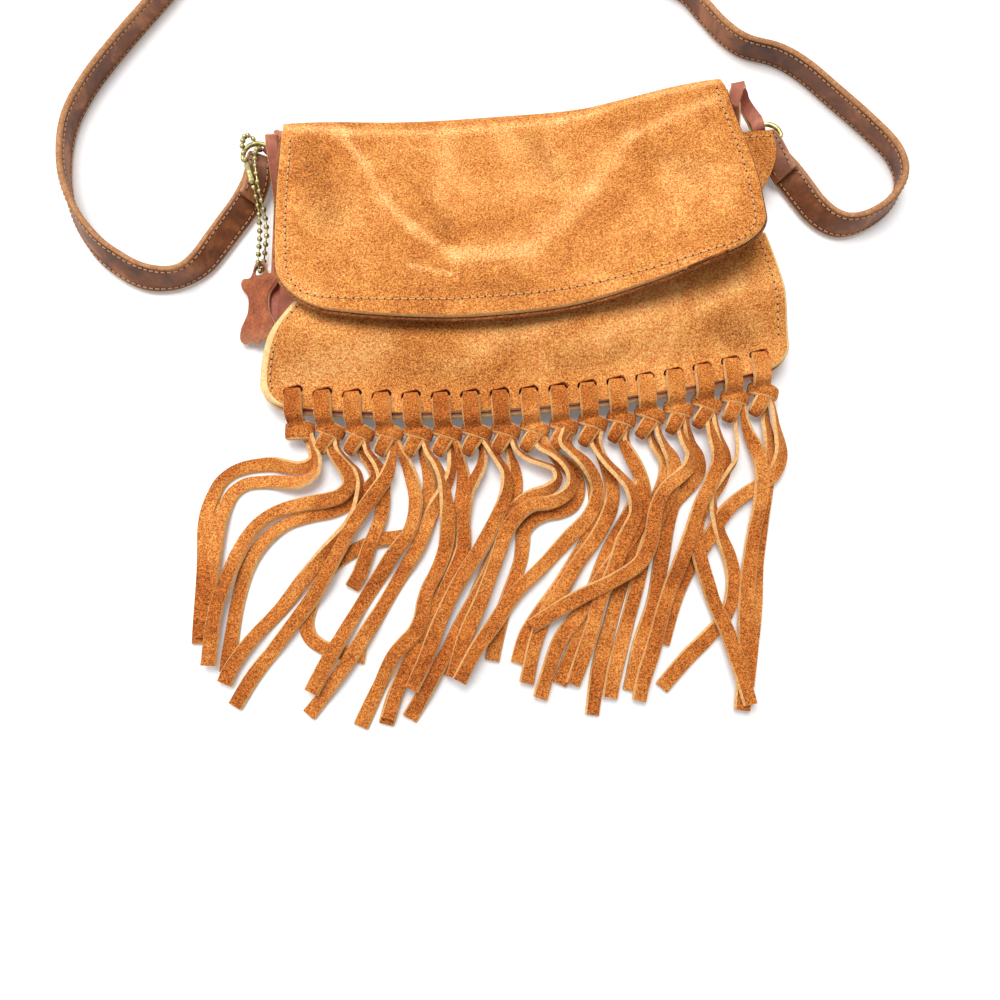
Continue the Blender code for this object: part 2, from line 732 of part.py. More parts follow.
TAB_RISE = 6.0
TAB_ANGLE = {"left": math.radians(118), "right": math.radians(75)}
TAB_ROUTES = {
    "left": [(-98.6, 73.6, 11.0), (-97.6, 72.9, 16.0), (-97.6, 69.5, 20.0), (-97.6, 64.5, None)],
    "right": [(107.6, 70.4, 12.5), (104.6, 71.4, 18.0), (101.2, 69.5, 22.5), (98.6, 63.8, None)],
}


def make_tab(which):
    hold = ring_point(which, TAB_ANGLE[which])
    _, back, bar = ring_axes(which)
    tangent = math.cos(TAB_ANGLE[which] + math.pi / 2) * bar + math.sin(TAB_ANGLE[which] + math.pi / 2) * back
    outward = math.cos(TAB_ANGLE[which]) * bar + math.sin(TAB_ANGLE[which]) * back
    route = [tuple(hold), tuple(hold + 3.2 * outward)]
    for x, y, z in TAB_ROUTES[which]:
        route.append((x, y, back_z(x, y) + TAB_RISE if z is None else z))
    middles = list(spline(route, 3.2))
    course = headings(middles)
    end = np.array([1.0, 0.0, 0.0]) * math.copysign(1.0, tangent[0])
    sides = []
    for i, head in enumerate(course):
        want = tangent * (1 - i / len(course)) + end * (i / len(course))
        sides.append(unit(want - head * want.dot(head)))
    radius = WIRE / 2 + CLEARANCE + TAB_THICK / 2 + 0.9
    reach = 99.0
    middles, sides = folded_end(middles, sides, radius, reach, TAB_THICK + CLEARANCE)
    band(which + "_ring_tab", middles, sides, [TAB_WIDTH / 2] * len(middles), TAB_THICK, "strap")


# Shoulder strap: (x, y, lean in degrees), lean away from upright to the right
# of its travel from the left ring to the right one

STRAP_ROUTE = [
    (-112.6, 51.5, 52), (-117.8, 41.5, 44), (-124, 32.5, 38), (-130, 24, 34), (-136, 16, 24),
    (-143, 11, 12), (-151, 9.5, 22), (-161, 11.5, 38), (-171, 17.5, 40), (-182, 28, 32),
    (-192, 45, 20), (-197, 65, 10), (-196, 88, 5), (-188, 108, 5), (-174, 129, 5),
    (-154, 155, 5), (-140, 174, 4), (-123, 193, 0), (-102, 208, 0), (-78, 216, 0),
    (-48, 219, 0), (-18, 219, 0), (12, 218, 0), (38, 216, 0), (56, 210, 0), (64, 199, 0),
    (57, 188, 0), (40, 184, 0), (14, 184, 0), (-13, 184, 0), (-38, 184, 0), (-56, 180, 0),
    (-63, 169, 0), (-56, 159, 0), (-38, 155, 0), (-10, 154, 0), (18, 153.5, 0), (42, 153, 0),
    (62, 152, 0), (78, 148, 0), (91, 138, 0), (98, 127, 0), (106, 114, 0), (115, 105, 0),
    (129, 99, 0), (140, 90, 0), (152, 75, 0), (165, 58, 2), (173.5, 44, 5), (174.5, 31, 8),
    (167, 19.5, 10), (156, 12.5, 12), (146, 10.5, 18), (139, 13.5, 24), (133.5, 20, 30),
    (130, 27, 36), (127, 33.5, 42), (122.8, 41.5, 52),
]
STRAP_FOLD_RADIUS = 3.4


def make_strap():
    starts = {}
    for which in RINGS:
        bar_middle, back, bar = ring_axes(which)
        starts[which] = (*bar_middle[:2], math.degrees(RING_LEAN))
    path = spline([starts["left"]] + STRAP_ROUTE + [starts["right"]], STRAP_STEP / 3)
    last = len(path) - 1
    path = path[[i for i in range(last + 1) if i % 3 == 0 or i < 6 or i > last - 6]]
    flat = [np.array([x, y, 0.0]) for x, y, _ in path]
    course = headings(flat)
    middles = []
    sides = []
    for (x, y, lean), head in zip(path, course):
        a = math.radians(lean)
        level = np.array([head[1], -head[0], 0.0])
        rise = STRAP_WIDTH / 2 * math.cos(a) + STRAP_THICK / 2 * math.sin(a) + 0.25
        middles.append(np.array([x, y, rise]))
        sides.append(level * math.sin(a) + np.array([0.0, 0.0, math.cos(a)]))
    for i in range(4):
        for at, which in ((i, "left"), (-1 - i, "right")):
            middles[at][2] = mix(RINGS[which]["bar"][2], middles[at][2], smooth(i / 4))
    pitch = STRAP_THICK + CLEARANCE + 0.2
    middles, sides = folded_end(middles, sides, STRAP_FOLD_RADIUS, FOLD_BACK, pitch)
    middles, sides = folded_end(middles[::-1], [-s for s in sides[::-1]], STRAP_FOLD_RADIUS,
                                FOLD_BACK, pitch)
    halves = [STRAP_WIDTH / 2] * len(middles)
    for i in range(11):
        halves[i] = halves[-1 - i] = STRAP_END_WIDTH / 2
    course = headings(middles)
    for middle, side, head, half in zip(middles, sides, course, halves):
        reach = half * abs(side[2]) + STRAP_THICK / 2 * abs(np.cross(side, head)[2]) + 0.2
        middle[2] = max(middle[2], reach)
    band("shoulder_strap", middles, sides, halves, STRAP_THICK, "strap")


# Bead chain on the left ring, its connector, and the hide tag it carries

CHAIN_ROUTE = [
    (-110.8, 47.0, 14.4), (-110.6, 44.2, 12.6), (-110.2, 38.4, 9.4), (-110.2, 32.0, 8.0),
    (-110.4, 25.0, 7.4), (-110.9, 18.5, 7.6), (-111.3, 13.4, 7.4), (-111.3, 10.8, 4.7),
    (-110.9, 12.8, 1.9), (-110.2, 17.0, 2.3), (-108.6, 20.8, 5.8), (-107.3, 26.5, 7.6),
    (-107.2, 33.0, 9.4), (-107.8, 39.5, 12.2), (-108.3, 46.0, 15.6), (-108.9, 52.0, 16.4),
    (-109.2, 58.0, 16.0), (-109.2, 63.6, 13.6), (-109.2, 67.2, 9.0), (-109.8, 70.0, 6.0),
    (-111.6, 73.4, 6.2), (-113.4, 74.0, 9.6), (-114.4, 70.6, 13.4), (-114.6, 64.6, 16.0),
    (-113.6, 58.4, 16.6), (-112.4, 55.0, 16.8),
]


def make_chain():
    """A closed run of balls on a thin wire, with the connector over one gap."""
    path = spline(CHAIN_ROUTE, 0.5)
    walked = np.concatenate([[0.0], np.cumsum(np.linalg.norm(np.diff(path, axis=0), axis=1))])
    count = int(walked[-1] / BALL_PITCH)
    points = []
    radii = []
    for ball in range(count):
        middle = (ball + 0.5) * walked[-1] / count
        for offset, radius in ((-1.05, LINK_WIRE / 2), (-0.5, BALL / 2), (0.5, BALL / 2),
                               (1.05, LINK_WIRE / 2)):
            at = middle + offset
            points.append([np.interp(at, walked, path[:, k]) for k in range(3)])
            radii.append(radius)
    wire("ball_chain", points, radii, False, 1, "brass")
    first, last = np.array(points[0]), np.array(points[-1])
    return first, last


def make_connector(first, last):
    """A slit sleeve that grips the chain's two end balls."""
    head = unit(first - last)
    start = last + head * (CLEARANCE + 0.1)
    end = first - head * (CLEARANCE + 0.1)
    spots = [start * (1 - t) + end * t for t in (0.0, 0.12, 0.4, 0.6, 0.88, 1.0)]
    radii = [0.9, 1.5, 1.2, 1.2, 1.5, 0.9]
    wire("chain_connector", spots, radii, False, 2, "brass")


TAG_MIDDLE = (-112.0, -5.0, 4.9)
TAG_HOLE_Y = 15.6
TAG_HOLE_RADIUS = 2.6
TAG_OUTLINE = [
    (0.0, 20.0), (2.4, 19.0), (3.6, 15.0), (5.2, 13.0), (8.4, 13.2), (9.6, 11.2), (8.6, 8.2),
    (5.6, 4.4), (5.0, 0.0), (5.6, -4.6), (8.4, -10.2), (8.8, -14.8), (6.4, -17.4),
    (2.4, -17.0), (0.0, -18.6),
]


def make_tag():
    bm = bmesh.new()
    outline = TAG_OUTLINE + [(-x, y) for x, y in reversed(TAG_OUTLINE[1:-1])]
    corners = [bm.verts.new((x, y, -TAG_THICK / 2)) for x, y in reversed(outline)]
    face = bm.faces.new(corners)
    lifted = bmesh.ops.extrude_face_region(bm, geom=[face])
    top = [item for item in lifted["geom"] if isinstance(item, bmesh.types.BMVert)]
    bmesh.ops.translate(bm, vec=(0.0, 0.0, TAG_THICK), verts=top)
    bmesh.ops.recalc_face_normals(bm, faces=bm.faces)
    tilt = Matrix.Rotation(TAG_LEAN, 3, "Z") @ Matrix.Rotation(-TAG_TILT, 3, "Y")
    bmesh.ops.rotate(bm, matrix=tilt, verts=bm.verts)
    bmesh.ops.translate(bm, vec=Vector(TAG_MIDDLE), verts=bm.verts)
    tag = add_object("hide_tag", mesh_from(bm, "hide_tag"), "tag")
    hole = bmesh.new()
    place = Matrix.Translation(TAG_MIDDLE) @ tilt.to_4x4() @ Matrix.Translation((0, TAG_HOLE_Y, 0))
    bmesh.ops.create_cone(hole, cap_ends=True, segments=16, radius1=TAG_HOLE_RADIUS,
                          radius2=TAG_HOLE_RADIUS, depth=10.0,
                          matrix=place)
    boolean(tag, add_object("tag_hole", mesh_from(hole, "tag_hole"), None), "DIFFERENCE")


# Pivots: a point on each moving piece's axis, and what turns about it

PIVOTS = {
    "flap_hinge": ((0.0, HINGE_Y, HINGE_Z), ("flap", "flap_lining", "snap_cap")),
    "left_ring_pivot": ((-104.03, 68.65, 5.98), ("left_ring",)),
    "right_ring_pivot": ((113.73, 61.45, 7.87), ("right_ring",)),
    "chain_pivot": ((-110.67, 70.6, 8.5), ("ball_chain", "chain_connector")),
    "tag_pivot": ((-111.2, 10.8, 4.9), ("hide_tag",)),
}


def hang(name, spot, pieces):
    pivot = bpy.data.objects.new(name, None)
    PARTS.objects.link(pivot)
    pivot.location = Vector(spot) * MM
    bpy.context.view_layer.update()
    for piece in pieces:
        hung = bpy.data.objects[piece]
        hung.parent = pivot
        hung.matrix_parent_inverse = pivot.matrix_world.inverted()


def make_bag():
    make_panels()
    make_gussets()
    sink = make_flap()
    make_snap(sink)
    make_fringes()
    for which in RINGS:
        make_ring(which)
        make_tab(which)
    make_strap()
    make_connector(*make_chain())
    make_tag()
    for name, (spot, pieces) in PIVOTS.items():
        hang(name, spot, pieces)


make_bag()
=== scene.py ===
# Looks for the fringed suede bag: camera, strap, leather pieces and materials.
# Lengths are in millimetres and are scaled once, where meshes are made.

import math
import random

import bmesh
import bpy
import numpy as np
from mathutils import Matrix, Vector, noise


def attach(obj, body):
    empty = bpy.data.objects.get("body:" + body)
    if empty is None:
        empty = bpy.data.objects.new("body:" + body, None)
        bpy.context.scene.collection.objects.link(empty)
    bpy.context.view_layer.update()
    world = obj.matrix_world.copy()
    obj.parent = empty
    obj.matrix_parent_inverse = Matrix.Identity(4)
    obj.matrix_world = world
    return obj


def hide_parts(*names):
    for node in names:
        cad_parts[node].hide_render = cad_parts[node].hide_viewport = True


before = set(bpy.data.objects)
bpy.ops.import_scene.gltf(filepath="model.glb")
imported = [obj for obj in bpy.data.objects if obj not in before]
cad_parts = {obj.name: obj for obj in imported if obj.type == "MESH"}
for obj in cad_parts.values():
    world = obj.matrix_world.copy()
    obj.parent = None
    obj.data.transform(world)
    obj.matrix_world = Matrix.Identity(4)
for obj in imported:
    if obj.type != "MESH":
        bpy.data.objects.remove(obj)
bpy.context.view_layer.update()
MM = 0.001
UP = np.array([0.0, 0.0, 1.0])
EAST = np.array([1.0, 0.0, 0.0])
WHITE = (1.0, 1.0, 1.0, 1.0)


def smooth(t):
    t = min(max(t, 0.0), 1.0)
    return t * t * (3.0 - 2.0 * t)


def mix(a, b, t):
    return a + (b - a) * t


def unit(vector):
    return vector / np.linalg.norm(vector)


def turns(count):
    """Angles spaced evenly round a circle."""
    return [2 * math.pi * k / count for k in range(count)]


def turned(x, y, angle):
    """The point (x, y) turned anticlockwise about the origin."""
    return x * math.cos(angle) - y * math.sin(angle), x * math.sin(angle) + y * math.cos(angle)


def beside(head):
    """The level direction to the right of a heading."""
    return np.array([head[1], -head[0], 0.0])


def headings(points):
    """Direction of travel at each point."""
    return [unit(points[min(i + 1, len(points) - 1)] - points[max(i - 1, 0)])
            for i in range(len(points))]


def walk(points):
    """Distance along a route at each of its points."""
    steps = np.linalg.norm(np.diff(np.array(points)[:, :3], axis=0), axis=1)
    return np.concatenate([[0.0], np.cumsum(steps)])


def lookup(at, walked, line):
    """The point at a distance along a line."""
    return np.array([np.interp(at, walked, line[:, k]) for k in range(3)])


def between(a, b, c, d, t):
    """A point from b to c on the smooth curve through all four, t from 0 to 1."""
    return 0.5 * (2 * b + (c - a) * t + (2 * a - 5 * b + 4 * c - d) * t ** 2
                  + (3 * b - a - 3 * c + d) * t ** 3)


def spline(points, step):
    """Evenly spaced points on a smooth curve through the given points."""
    given = [np.array(p, dtype=float) for p in points]
    given = [2 * given[0] - given[1]] + given + [2 * given[-1] - given[-2]]
    fine = []
    for a, b, c, d in zip(given, given[1:], given[2:], given[3:]):
        fine += [between(a, b, c, d, t) for t in np.linspace(0.0, 1.0, 16, endpoint=False)]
    fine = np.array(fine + [given[-2]])
    walked = walk(fine)
    count = max(2, round(walked[-1] / step)) + 1
    along = np.linspace(0.0, walked[-1], count)
    return np.stack([np.interp(along, walked, fine[:, k]) for k in range(fine.shape[1])], axis=1)


def bands(rows, size, flipped):
    """Quads between neighbouring rings of points, each with size points."""
    faces = []
    for first in range(0, (rows - 1) * size, size):
        for i in range(size):
            a, b = first + i, first + (i + 1) % size
            faces.append((b, a, a + size, b + size) if flipped else (a, b, b + size, a + size))
    return faces


def place_object(name, data):
    made = bpy.data.objects.new(name, data)
    bpy.context.scene.collection.objects.link(made)
    return made


def place_mesh(name, bm):
    """Makes an object of a bmesh, and frees it."""
    mesh = bpy.data.meshes.new(name)
    bm.to_mesh(mesh)
    bm.free()
    return place_object(name, mesh)


# Camera, as solved from the photograph

lens = bpy.data.cameras.new("camera")
lens.sensor_width = 36.0
lens.lens = 27.07
lens.clip_start = 0.01
camera = place_object("camera", lens)
camera.location = (-0.0205, -0.1605, 0.306)
camera.rotation_euler = (math.radians(11.5), 0.0, math.radians(-4.7))
bpy.context.scene.camera = camera


# Materials

def tone(red, green, blue):
    """The linear colour of a displayed one, from 0 to 255."""
    shares = [c / 255.0 for c in (red, green, blue)]
    return tuple(s / 12.92 if s <= 0.04045 else ((s + 0.055) / 1.055) ** 2.4
                 for s in shares) + (1.0,)


class Nodes:
    """A node tree, built node by node."""

    def __init__(self, tree):
        self.tree = tree

    def node(self, kind, links=(), **values):
        """Links are pairs of a socket and what feeds it, a socket or a value."""
        made = self.tree.nodes.new("ShaderNode" + kind)
        for name, value in values.items():
            setattr(made, name, value)
        for socket, source in links:
            if hasattr(source, "is_linked"):
                self.tree.links.new(source, made.inputs[socket])
            else:
                made.inputs[socket].default_value = source
        return made

    def show(self, shader, output):
        self.tree.links.new(shader.outputs[0], self.tree.nodes[output].inputs["Surface"])


class Look(Nodes):
    """A procedural material built round one Principled shader."""

    def __init__(self, name, **sockets):
        self.made = bpy.data.materials.new(name)
        self.made.use_nodes = True
        super().__init__(self.made.node_tree)
        self.shader = self.tree.nodes["Principled BSDF"]
        for socket, value in sockets.items():
            self.shader.inputs[socket.replace("_", " ")].default_value = value
        self.place = self.node("TexCoord").outputs["Object"]

    def noise(self, scale, detail, roughness, warp=0.0):
        links = [("Vector", self.place), ("Scale", scale), ("Detail", detail),
                 ("Roughness", roughness), ("Distortion", warp)]
        return self.node("TexNoise", links).outputs[0]

    def ramp(self, source, *stops):
        made = self.node("ValToRGB", [("Fac", source)])
        line = made.color_ramp
        while len(line.elements) < len(stops):
            line.elements.new(0.5)
        for element, (at, colour) in zip(line.elements, stops):
            element.position = at
            element.color = colour if isinstance(colour, tuple) else (colour, colour, colour, 1.0)
        return made.outputs[0]

    def blend(self, factor, first, second, mode="MIX"):
        links = [(0, factor), (6, first), (7, second)]
        return self.node("Mix", links, data_type="RGBA", blend_type=mode).outputs[2]

    def colour(self, source):
        self.tree.links.new(source, self.shader.inputs["Base Color"])

    def rough(self, source, low, high):
        span = self.node("MapRange", [("Value", source), ("To Min", low), ("To Max", high)])
        self.tree.links.new(span.outputs[0], self.shader.inputs["Roughness"])

    def bump(self, *heights):
        """Each height is a socket, its strength and its depth in millimetres."""
        before = None
        for source, strength, depth in heights:
            links = [("Height", source), ("Strength", strength), ("Distance", depth * MM)]
            if before is not None:
                links.append(("Normal", before))
            before = self.node("Bump", links).outputs[0]
        self.tree.links.new(before, self.shader.inputs["Normal"])


def suede(name, dark, middle, pale, grain=1.0):
    """Napped leather, with painted highlights and painted shade of folds where a mesh's point
    attribute says so.
    """
    look = Look(name, Roughness=0.95, Sheen_Weight=0.25, Sheen_Roughness=0.5,
                Sheen_Tint=tone(255, 190, 120), Specular_IOR_Level=0.15)
    clouds = look.noise(26.0, 5.0, 0.62, warp=0.6)
    colour = look.ramp(clouds, (0.3, tone(*dark)), (0.5, tone(*middle)), (0.7, tone(*pale)))
    patches = look.ramp(look.noise(150.0, 5.0, 0.7), (0.35, 0.40), (0.65, 0.60))
    colour = look.blend(0.55, colour, patches, "OVERLAY")
    # Point attribute of painted light: above 0 paints highlights of folds, below 0 paints their
    # shade.
    wear_and_light = look.node("Attribute", attribute_name="painted_light").outputs["Fac"]
    painted_highlight = look.ramp(wear_and_light, (0.0, 0.0), (1.0, 1.0))
    painted_shade = look.node("MapRange", [("Value", wear_and_light), ("From Min", 0.0), ("From Max", -1.0)])
    # Painted highlight of the folds, paler than the palest nap; then painted shade, darker than the
    # darkest.
    colour = look.blend(painted_highlight, colour, tone(*[min(c + 24, 255) for c in pale]))
    colour = look.blend(painted_shade.outputs[0], colour, tone(*[c * 0.86 for c in dark]))
    nap = look.noise(1150.0 / grain, 2.5, 0.8)
    fibres = look.noise(2300.0 / grain, 2.0, 0.7)
    for hairs, strength in ((nap, 0.9), (fibres, 0.6)):
        colour = look.blend(strength, colour, look.ramp(hairs, (0.36, 0.16), (0.64, 0.8)), "OVERLAY")
    look.colour(colour)
    look.bump((look.noise(160.0, 4.0, 0.6), 0.35, 0.6), (nap, 0.8, 0.35))
    return look.made


def cut_edge(name, dark, pale):
    """The raw edge of cut leather: pale, with loose fibres along it."""
    look = Look(name, Roughness=0.9, Specular_IOR_Level=0.2)
    fibres = look.noise(900.0, 4.0, 0.7)
    blotches = look.noise(120.0, 3.0, 0.6)
    colour = look.ramp(fibres, (0.3, tone(*dark)), (0.65, tone(*pale)))
    colour = look.blend(look.ramp(blotches, (0.4, 0.0), (0.7, 0.45)), colour, tone(*dark))
    look.colour(colour)
    look.bump((fibres, 0.6, 0.3))
    return look.made


def oiled(name, dark, middle, pale, gloss=0.42):
    look = Look(name, Roughness=0.5, Specular_IOR_Level=0.45, Coat_Weight=0.08,
                Coat_Roughness=0.35)
    clouds = look.noise(55.0, 5.0, 0.65, warp=0.8)
    colour = look.ramp(clouds, (0.32, tone(*dark)), (0.52, tone(*middle)), (0.72, tone(*pale)))
    grain = look.node("TexVoronoi", [("Vector", look.place), ("Scale", 950.0)]).outputs[0]
    marks = look.noise(420.0, 4.0, 0.7)
    colour = look.blend(0.4, colour, look.ramp(marks, (0.35, 0.36), (0.65, 0.62)), "OVERLAY")
    look.colour(colour)
    look.rough(marks, gloss - 0.06, gloss + 0.2)
    look.bump((clouds, 0.3, 0.5), (grain, 0.25, 0.12), (marks, 0.3, 0.12))
    return look.made


def antique_brass(name):
    look = Look(name, Metallic=1.0, Roughness=0.4)
    patina = look.noise(380.0, 5.0, 0.65)
    colour = look.ramp(patina, (0.32, tone(108, 102, 66)), (0.52, tone(170, 160, 108)),
                       (0.72, tone(228, 218, 164)))
    look.colour(colour)
    look.rough(patina, 0.5, 0.28)
    look.bump((look.noise(1400.0, 3.0, 0.6), 0.15, 0.08))
    return look.made


def thread(name, dark, pale):
    look = Look(name, Roughness=0.7, Sheen_Weight=0.2)
    twist = look.node("TexWave", [("Vector", look.place), ("Scale", 900.0), ("Distortion", 1.5)],
                      bands_direction="DIAGONAL").outputs[1]
    look.colour(look.ramp(twist, (0.2, tone(*dark)), (0.8, tone(*pale))))
    look.bump((twist, 0.4, 0.1))
    return look.made


TAG_CLEAN_SPOT = (-0.1112, -0.005, 0.0049)


def worn_tag(name):
    """The leather of the tag, which is paler and rubbed away from its middle."""
    look = Look(name, Roughness=0.62, Specular_IOR_Level=0.35)
    clouds = look.noise(120.0, 5.0, 0.65)
    nap = look.noise(1300.0, 3.0, 0.7)
    colour = look.ramp(clouds, (0.3, tone(122, 60, 32)), (0.55, tone(158, 84, 48)),
                       (0.75, tone(190, 112, 68)))
    specks = look.noise(900.0, 3.0, 0.7)
    colour = look.blend(0.7, colour, look.ramp(specks, (0.36, 0.3), (0.64, 0.7)), "OVERLAY")
    ends = look.node("VectorMath", [(0, look.place), (1, TAG_CLEAN_SPOT)],
                     operation="DISTANCE").outputs["Value"]
    wear_and_light = look.node("MapRange", [("Value", ends), ("From Min", 0.011), ("From Max", 0.020),
                                  ("To Max", 0.55)]).outputs[0]
    wear_and_light = look.blend(wear_and_light, (0.0, 0.0, 0.0, 1.0), look.ramp(nap, (0.3, 0.2), (0.6, 1.0)))
    look.colour(look.blend(wear_and_light, colour, tone(205, 150, 110)))
    look.bump((clouds, 0.3, 0.4), (nap, 0.4, 0.15))
    return look.made


def dull(name, colour, roughness):
    look = Look(name, Roughness=roughness)
    specks = look.noise(700.0, 3.0, 0.6)
    look.colour(look.ramp(specks, (0.3, tone(*[c * 0.6 for c in colour])), (0.7, tone(*colour))))
    look.bump((specks, 0.3, 0.15))
    return look.made


SUEDE = suede("suede", (186, 106, 46), (214, 136, 68), (238, 168, 96))
FLESH = suede("suede_flesh", (150, 84, 42), (178, 106, 56), (204, 134, 78), grain=1.4)
FRINGE = suede("suede_fringe", (158, 80, 32), (194, 110, 48), (226, 146, 74), grain=0.9)
LINING = suede("suede_lining", (118, 66, 34), (146, 86, 46), (172, 108, 62))
GUSSET = oiled("gusset_leather", (138, 74, 52), (172, 98, 74), (200, 128, 100), 0.66)
EDGE = cut_edge("raw_edge", (206, 144, 82), (250, 206, 142))
CREAM_EDGE = cut_edge("cream_edge", (226, 180, 112), (252, 230, 172))
PALE_EDGE = cut_edge("pale_edge", (206, 160, 124), (238, 204, 168))
STRAP = oiled("strap_leather", (76, 42, 24), (122, 70, 40), (182, 116, 70))
STRAP_EDGE = cut_edge("strap_edge", (150, 96, 62), (206, 154, 108))
BRASS = antique_brass("antique_brass")
TAG = worn_tag("tag_leather")
THREAD = thread("tan_thread", (204, 136, 72), (246, 196, 124))
PALE_THREAD = thread("cream_thread", (150, 102, 62), (212, 162, 108))
# A dark look painted as the shade inside needle holes and fringe slots.
HOLE_SHADE_LOOK = dull("painted_hole_shade", (52, 24, 12), 0.95)


# Mesh pieces

SHEET_LAYERS = ((0.5, 1.0), (0.08, 0.3), (-0.5, 0.0))
STITCH_ARC = ((0.0, -0.5), (0.12, 0.35), (0.5, 0.7), (0.88, 0.35), (1.0, -0.5))
STITCH_PITCH = 3.1
STITCH_RADIUS = 0.3
STITCH_GAP = 0.28
STITCH_HOLE_RADIUS = 0.4
STITCH_HOLE_LIFT = 0.09
SHARP_FROM = math.radians(50)


class Piece:
    """Points, faces and the material slot of each face, gathered for one object."""

    def __init__(self, *looks):
        self.looks = looks
        self.points = []
        self.faces = []
        self.slots = []
        # Painted highlights and painted shade of folds, as a function of (x, y), if any.
        self.painted_light = None

    def add(self, points, faces, slots):
        first = len(self.points)
        self.points.extend(tuple(p) for p in points)
        self.faces.extend(tuple(first + i for i in face) for face in faces)
        self.slots.extend(slots)

    def sheet(self, columns, rows, place, thickness, slants, relief=None):
        """A thick sheet bent to place(u, v), u and v from 0 to 1. Its upper layer is cut
        back by slants at the left, right, first and last edge, so the cut edge shows. Its
        looks are those of the upper side, the lower side and the edge."""
        width = np.linalg.norm(np.array(place(1.0, 0.5)) - np.array(place(0.0, 0.5)))
        height = np.linalg.norm(np.array(place(0.5, 1.0)) - np.array(place(0.5, 0.0)))
        layers = []
        for level, share in SHEET_LAYERS:
            left, right = slants[0] * share / width, slants[1] * share / width
            low, high = slants[2] * share / height, slants[3] * share / height
            grid = np.array([[place(mix(left, 1.0 - right, c / columns),
                                    mix(low, 1.0 - high, r / rows))
                              for c in range(columns + 1)] for r in range(rows + 1)])
            normal = np.cross(np.gradient(grid, axis=1), np.gradient(grid, axis=0))
            normal /= np.linalg.norm(normal, axis=2, keepdims=True) + 1e-12
            if normal[:, :, 2].mean() < 0:
                normal = -normal
            if relief:
                lift = np.array([[relief(p[0], p[1]) for p in line] for line in grid])
                grid = grid + normal * lift[:, :, None]
            layers.append(grid + normal * thickness * level)
        corner = layers[0][0, 0]
        facing = np.cross(layers[0][0, 1] - corner, layers[0][1, 0] - corner)
        across = columns + 1
        count = across * (rows + 1)
        faces = []
        slots = []
        for r in range(rows):
            for c in range(columns):
                a = r * across + c
                quad = (a, a + 1, a + across + 1, a + across)
                faces += [quad, tuple(2 * count + i for i in reversed(quad))]
                slots += [0, 1]
        border = list(range(columns)) + [columns + r * across for r in range(rows)]
        border += [rows * across + c for c in range(columns, 0, -1)]
        border += [r * across for r in range(rows, 0, -1)]
        for a, b in zip(border, border[1:] + border[:1]):
            for top in (0, count):
                faces.append((top + b, top + a, top + count + a, top + count + b))
                slots.append(2)
        if facing.dot(corner - layers[2][0, 0]) < 0:
            faces = [tuple(reversed(face)) for face in faces]
        self.add(np.concatenate([layer.reshape(-1, 3) for layer in layers]), faces, slots)

    def sweep(self, middles, sides, halves, thickness, profile, slots):
        """A band swept along a route: each profile point is a share of the half
        width, a distance across and a share of the thickness."""
        course = headings(middles)
        points = []
        for middle, side, head, half in zip(middles, sides, course, halves):
            side = unit(side - head * side.dot(head))
            up = np.cross(side, head)
            for share, shift, level in profile:
                points.append(middle + side * (share * half + shift) + up * level * thickness)
        size = len(profile)
        rows = len(middles)
        faces = [tuple(range(size - 1, -1, -1))] + bands(rows, size, False)
        faces.append(tuple((rows - 1) * size + i for i in range(size)))
        self.add(points, faces, [slots[-1]] + slots * (rows - 1) + [slots[-1]])

    def tube(self, middles, radii, sides, slot):
        points = []
        for middle, head, radius in zip(middles, headings(middles), radii):
            across = unit(np.cross(head, UP if abs(head[2]) < 0.9 else EAST))
            up = np.cross(across, head)
            points += [middle + radius * (math.cos(angle) * across + math.sin(angle) * up)
                       for angle in turns(sides)]
        rows = len(middles)
        faces = [tuple(range(sides))] + bands(rows, sides, True)
        faces.append(tuple((rows - 1) * sides + i for i in range(sides - 1, -1, -1)))
        self.add(points, faces, [slot] * len(faces))

    def stitches(self, line, ups, slot, pitch=STITCH_PITCH, radius=STITCH_RADIUS):
        """A row of stitches along a line, each a short arc between two holes. The holes are dark
        discs of painted shade, in the look after the thread's."""
        line, ups = np.array(line), np.array(ups)
        walked = walk(line)
        count = max(1, round(walked[-1] / pitch))
        for i in range(count):
            start = (i + STITCH_GAP / 2) * walked[-1] / count
            end = (i + 1 - STITCH_GAP / 2) * walked[-1] / count
            spots = []
            for share, rise in STITCH_ARC:
                at = mix(start, end, share)
                spots.append(lookup(at, walked, line) + lookup(at, walked, ups) * rise * radius)
            self.tube(spots, [radius * 0.7] + [radius] * 3 + [radius * 0.7], 6, slot)
            middle = (i + 1) * walked[-1] / count
            up = unit(lookup(middle, walked, ups))
            side = unit(np.cross(up, [0.31, 0.87, 0.11]))
            other = np.cross(up, side)
            centre = lookup(middle, walked, line) + up * STITCH_HOLE_LIFT
            self.add([centre + STITCH_HOLE_RADIUS * (math.cos(a) * side + math.sin(a) * other)
                      for a in turns(8)], [tuple(range(8))], [slot + 1])

    def build(self, name, body, slot, *replaced):
        mesh = bpy.data.meshes.new(name)
        mesh.from_pydata([tuple(c * MM for c in p) for p in self.points], [], self.faces)
        for look in self.looks:
            mesh.materials.append(look)
        mesh.polygons.foreach_set("material_index", self.slots)
        # Stores the painted highlights and painted shade as a point attribute.
        if self.painted_light:
            wear_and_light = mesh.attributes.new("painted_light", "FLOAT", "POINT")
            wear_and_light.data.foreach_set("value", [self.painted_light(p[0], p[1]) for p in self.points])
        mesh.validate()
        made = place_object(name, mesh)
        mesh.shade_smooth()
        mesh.set_sharp_from_angle(angle=SHARP_FROM)
        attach(made, body)
        if replaced:
            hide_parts(*replaced)
        return made


